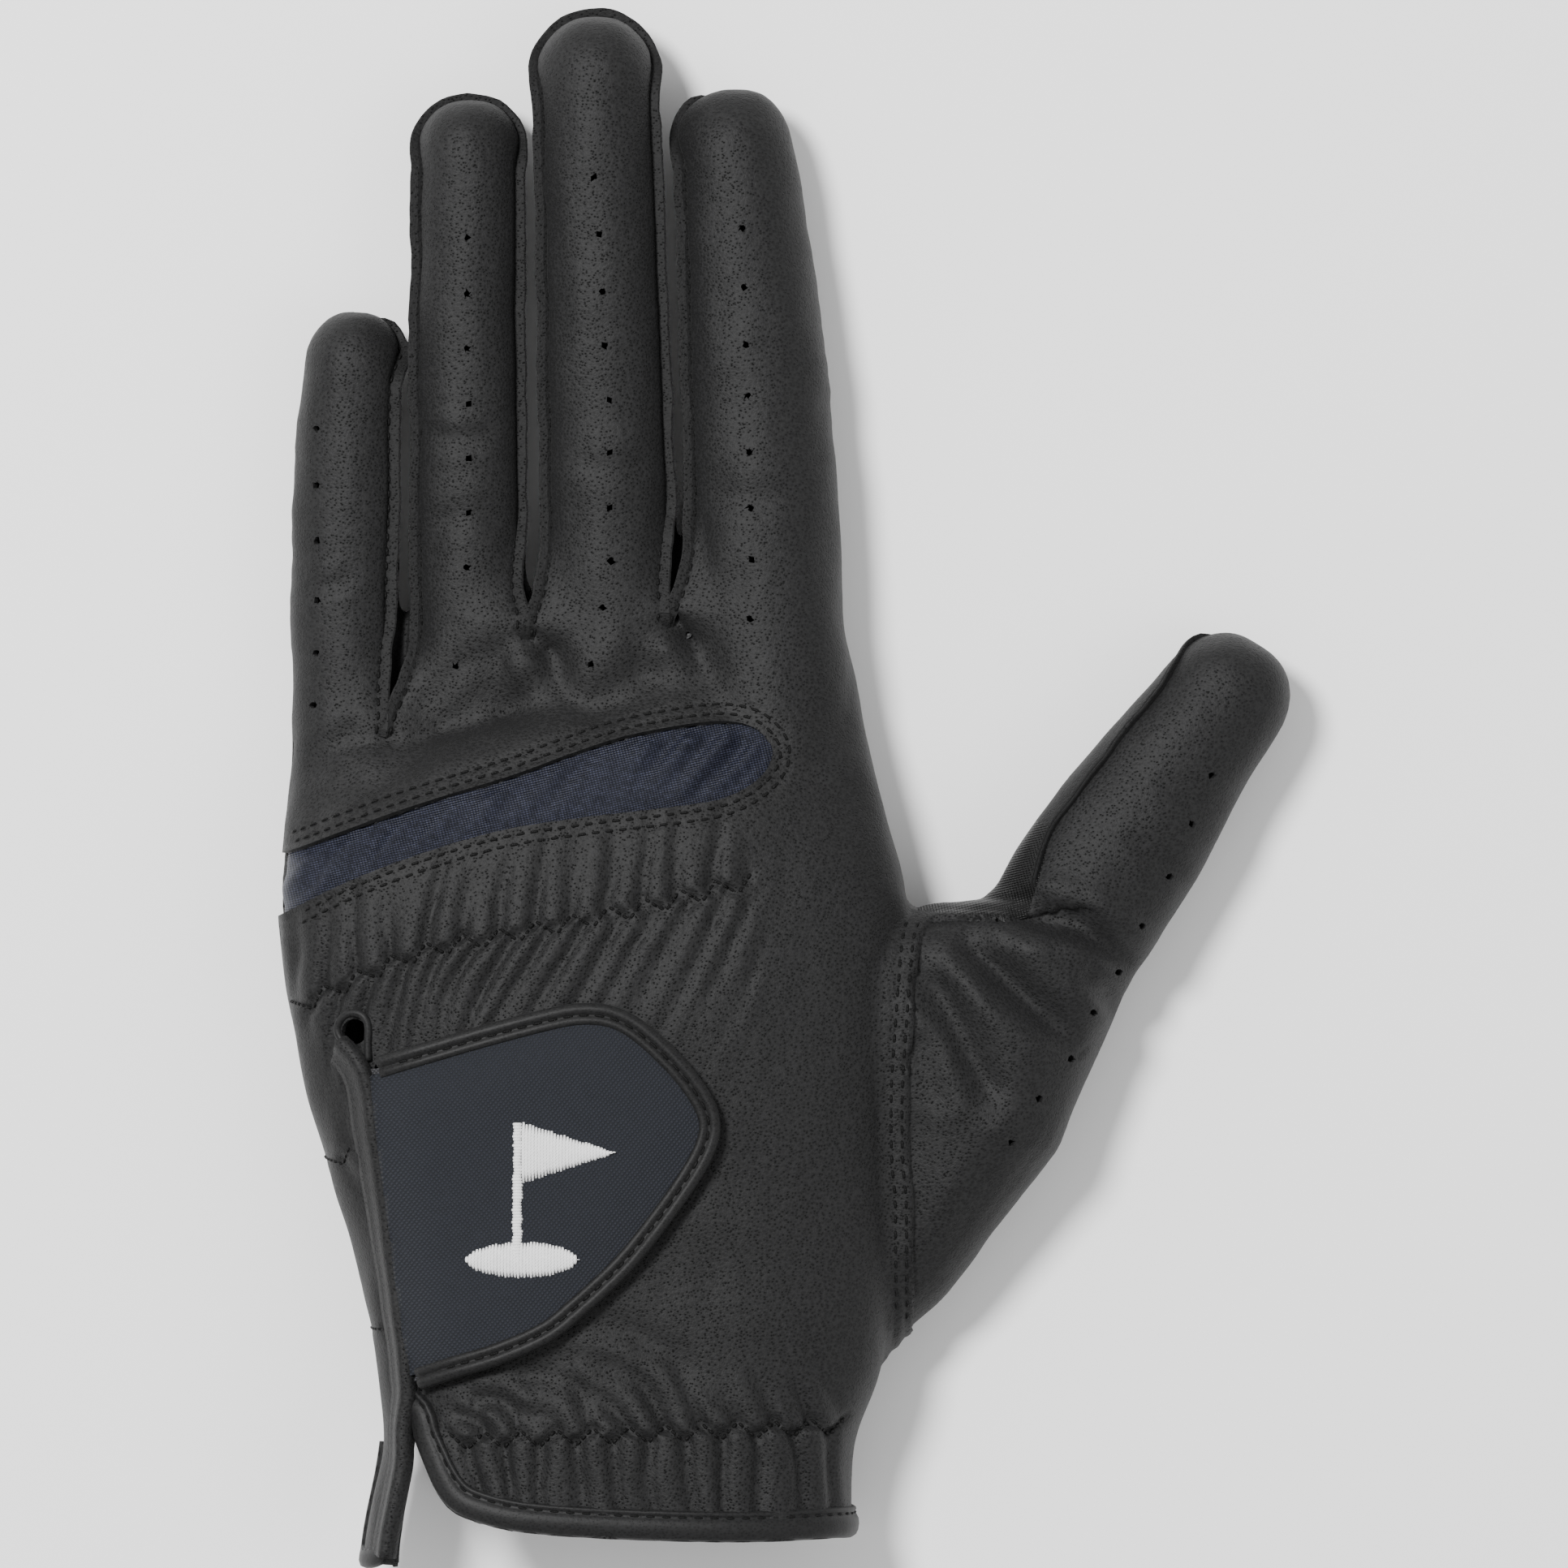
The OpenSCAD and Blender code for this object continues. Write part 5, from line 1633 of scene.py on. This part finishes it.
# A plain pin and flag in satin stitch
POLE = np.array([(-37, -65), (-35.5, -65), (-35.5, -46), (-37, -46)])
PENNANT = np.array([(-35.6, -46), (-22.5, -50.3), (-35.6, -54.6)])
GREEN = np.array([(-35.5 + 7.5 * math.cos(a), -65 + 2.6 * math.sin(a)) for a in np.linspace(0, 6.28, 24)])


def satin(outline, across, pitch=0.42):
    """Threads side by side over an outline, each from edge to edge."""
    rng = np.random.default_rng(7)
    low, high = outline.min(axis=0), outline.max(axis=0)
    parts = []
    for at in np.arange(low[across] + 0.15, high[across], pitch):
        other = 1 - across
        line = np.arange(low[other] - 0.2, high[other] + 0.2, 0.05)
        xy = np.zeros((len(line), 2))
        xy[:, across], xy[:, other] = at, line
        hit = line[inside(xy, outline)]
        if len(hit) < 8:
            continue
        a, b = hit[0] + rng.uniform(-0.15, 0.1), hit[-1] + rng.uniform(-0.1, 0.15)
        run = np.linspace(a, b, max(int((b - a) / 0.8), 4))
        xy = np.zeros((len(run), 2))
        xy[:, across], xy[:, other] = at, run
        points, ups = smooth_surface.drop(xy)
        points = points + ups * (fabric_height(points) + 0.22)[:, None]
        length = float(np.linalg.norm(np.diff(points, axis=0), axis=1).sum()) - 0.25
        parts.append(stitches(points, ups, length, 1e6, 0.26, 0.0))
    return parts


verts, faces = joined(satin(POLE, 1) + satin(PENNANT, 0) + satin(GREEN, 0))
embroidery = mesh_object("tab_embroidery", verts, faces, [white_thread])
finish_piece(embroidery, "tab", "embroidery", ("tab_emblem",))

# Each flat piece: its cut's width and length, its area, how it is held and what it lies on
SHEETS = (
    ("back_leather", (0.112, 0.135), 0.0105, "stretched", ()),
    ("palm_leather", (0.104, 0.134), 0.0102, "stretched", ()),
    ("side_leather", (0.024, 0.078), 0.0014, "stretched", ()),
    ("thumb_base_leather", (0.046, 0.066), 0.0029, "stretched", ()),
    ("knuckle_knit", (0.072, 0.036), 0.00115, "stretched", ("back_leather",)),
    ("tab_textile", (0.047, 0.050), 0.0016, "laid", ("tab_underside",)),
    ("tab_underside", (0.047, 0.051), 0.0016, "laid", ("hook_fastener",)),
    ("hook_fastener", (0.030, 0.040), 0.0008, "laid", ("loop_fastener",)),
    ("loop_fastener", (0.030, 0.042), 0.0009, "laid", ("back_leather",)),
)
for name, flat, area, held, rests_on in SHEETS:
    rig.sheet(bpy.data.objects[name], flat=flat, held=held, rests_on=rests_on, area=area)

# ---------------------------------------------------------------- room, light and camera

for node in frame["nodes"].values():
    if not node.data.materials:
        node.data.materials.append(leather_sides)
    for index in range(len(node.data.materials)):
        node.data.materials[index] = leather_sides

floor_mesh = bpy.data.meshes.new("floor")
FLOOR_Z = -0.0006
floor_mesh.from_pydata([(x, y, FLOOR_Z) for x, y in ((-3, -3), (3, -3), (3, 3), (-3, 3))], [], [(0, 1, 2, 3)])
floor = bpy.data.objects.new("floor", floor_mesh)
bpy.context.scene.collection.objects.link(floor)
floor_look = Look("floor", Roughness=0.9)
floor_look.colour(floor_look.noise(3), ((0.0, grey(0.93)), (1.0, grey(0.96))))
floor_mesh.materials.append(floor_look.material)
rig.stage(floor)

world = bpy.data.worlds.new("world")
bpy.context.scene.world = world
world.use_nodes = True
world.node_tree.nodes["Background"].inputs["Color"].default_value = (1, 1, 1, 1)
world.node_tree.nodes["Background"].inputs["Strength"].default_value = 0.7


def area_light(name, place, size, watts):
    data = bpy.data.lights.new(name, "AREA")
    data.shape = "DISK"
    data.size = size
    data.energy = watts
    lamp = bpy.data.objects.new(name, data)
    lamp.location = place
    lamp.rotation_euler = (Vector((0, 0, 0)) - Vector(place)).to_track_quat("-Z", "Y").to_euler()
    bpy.context.scene.collection.objects.link(lamp)


area_light("key", (-0.45, 0.4, 1.1), 0.3, 26)
area_light("fill", (0.9, -0.3, 1.1), 0.9, 4)

camera_data = bpy.data.cameras.new("camera")
camera_data.sensor_width = 36
camera_data.lens = 36 * 2.0 / 0.2164
camera_data.clip_end = 20
camera = bpy.data.objects.new("camera", camera_data)
camera.location = (0, 0, 2.015)
bpy.context.scene.collection.objects.link(camera)
bpy.context.scene.camera = camera

low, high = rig.bounds()
with open("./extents.json", "w") as out:
    json.dump({"cad": [list(cad_low), list(cad_high)], "visual": [list(low), list(high)]}, out)
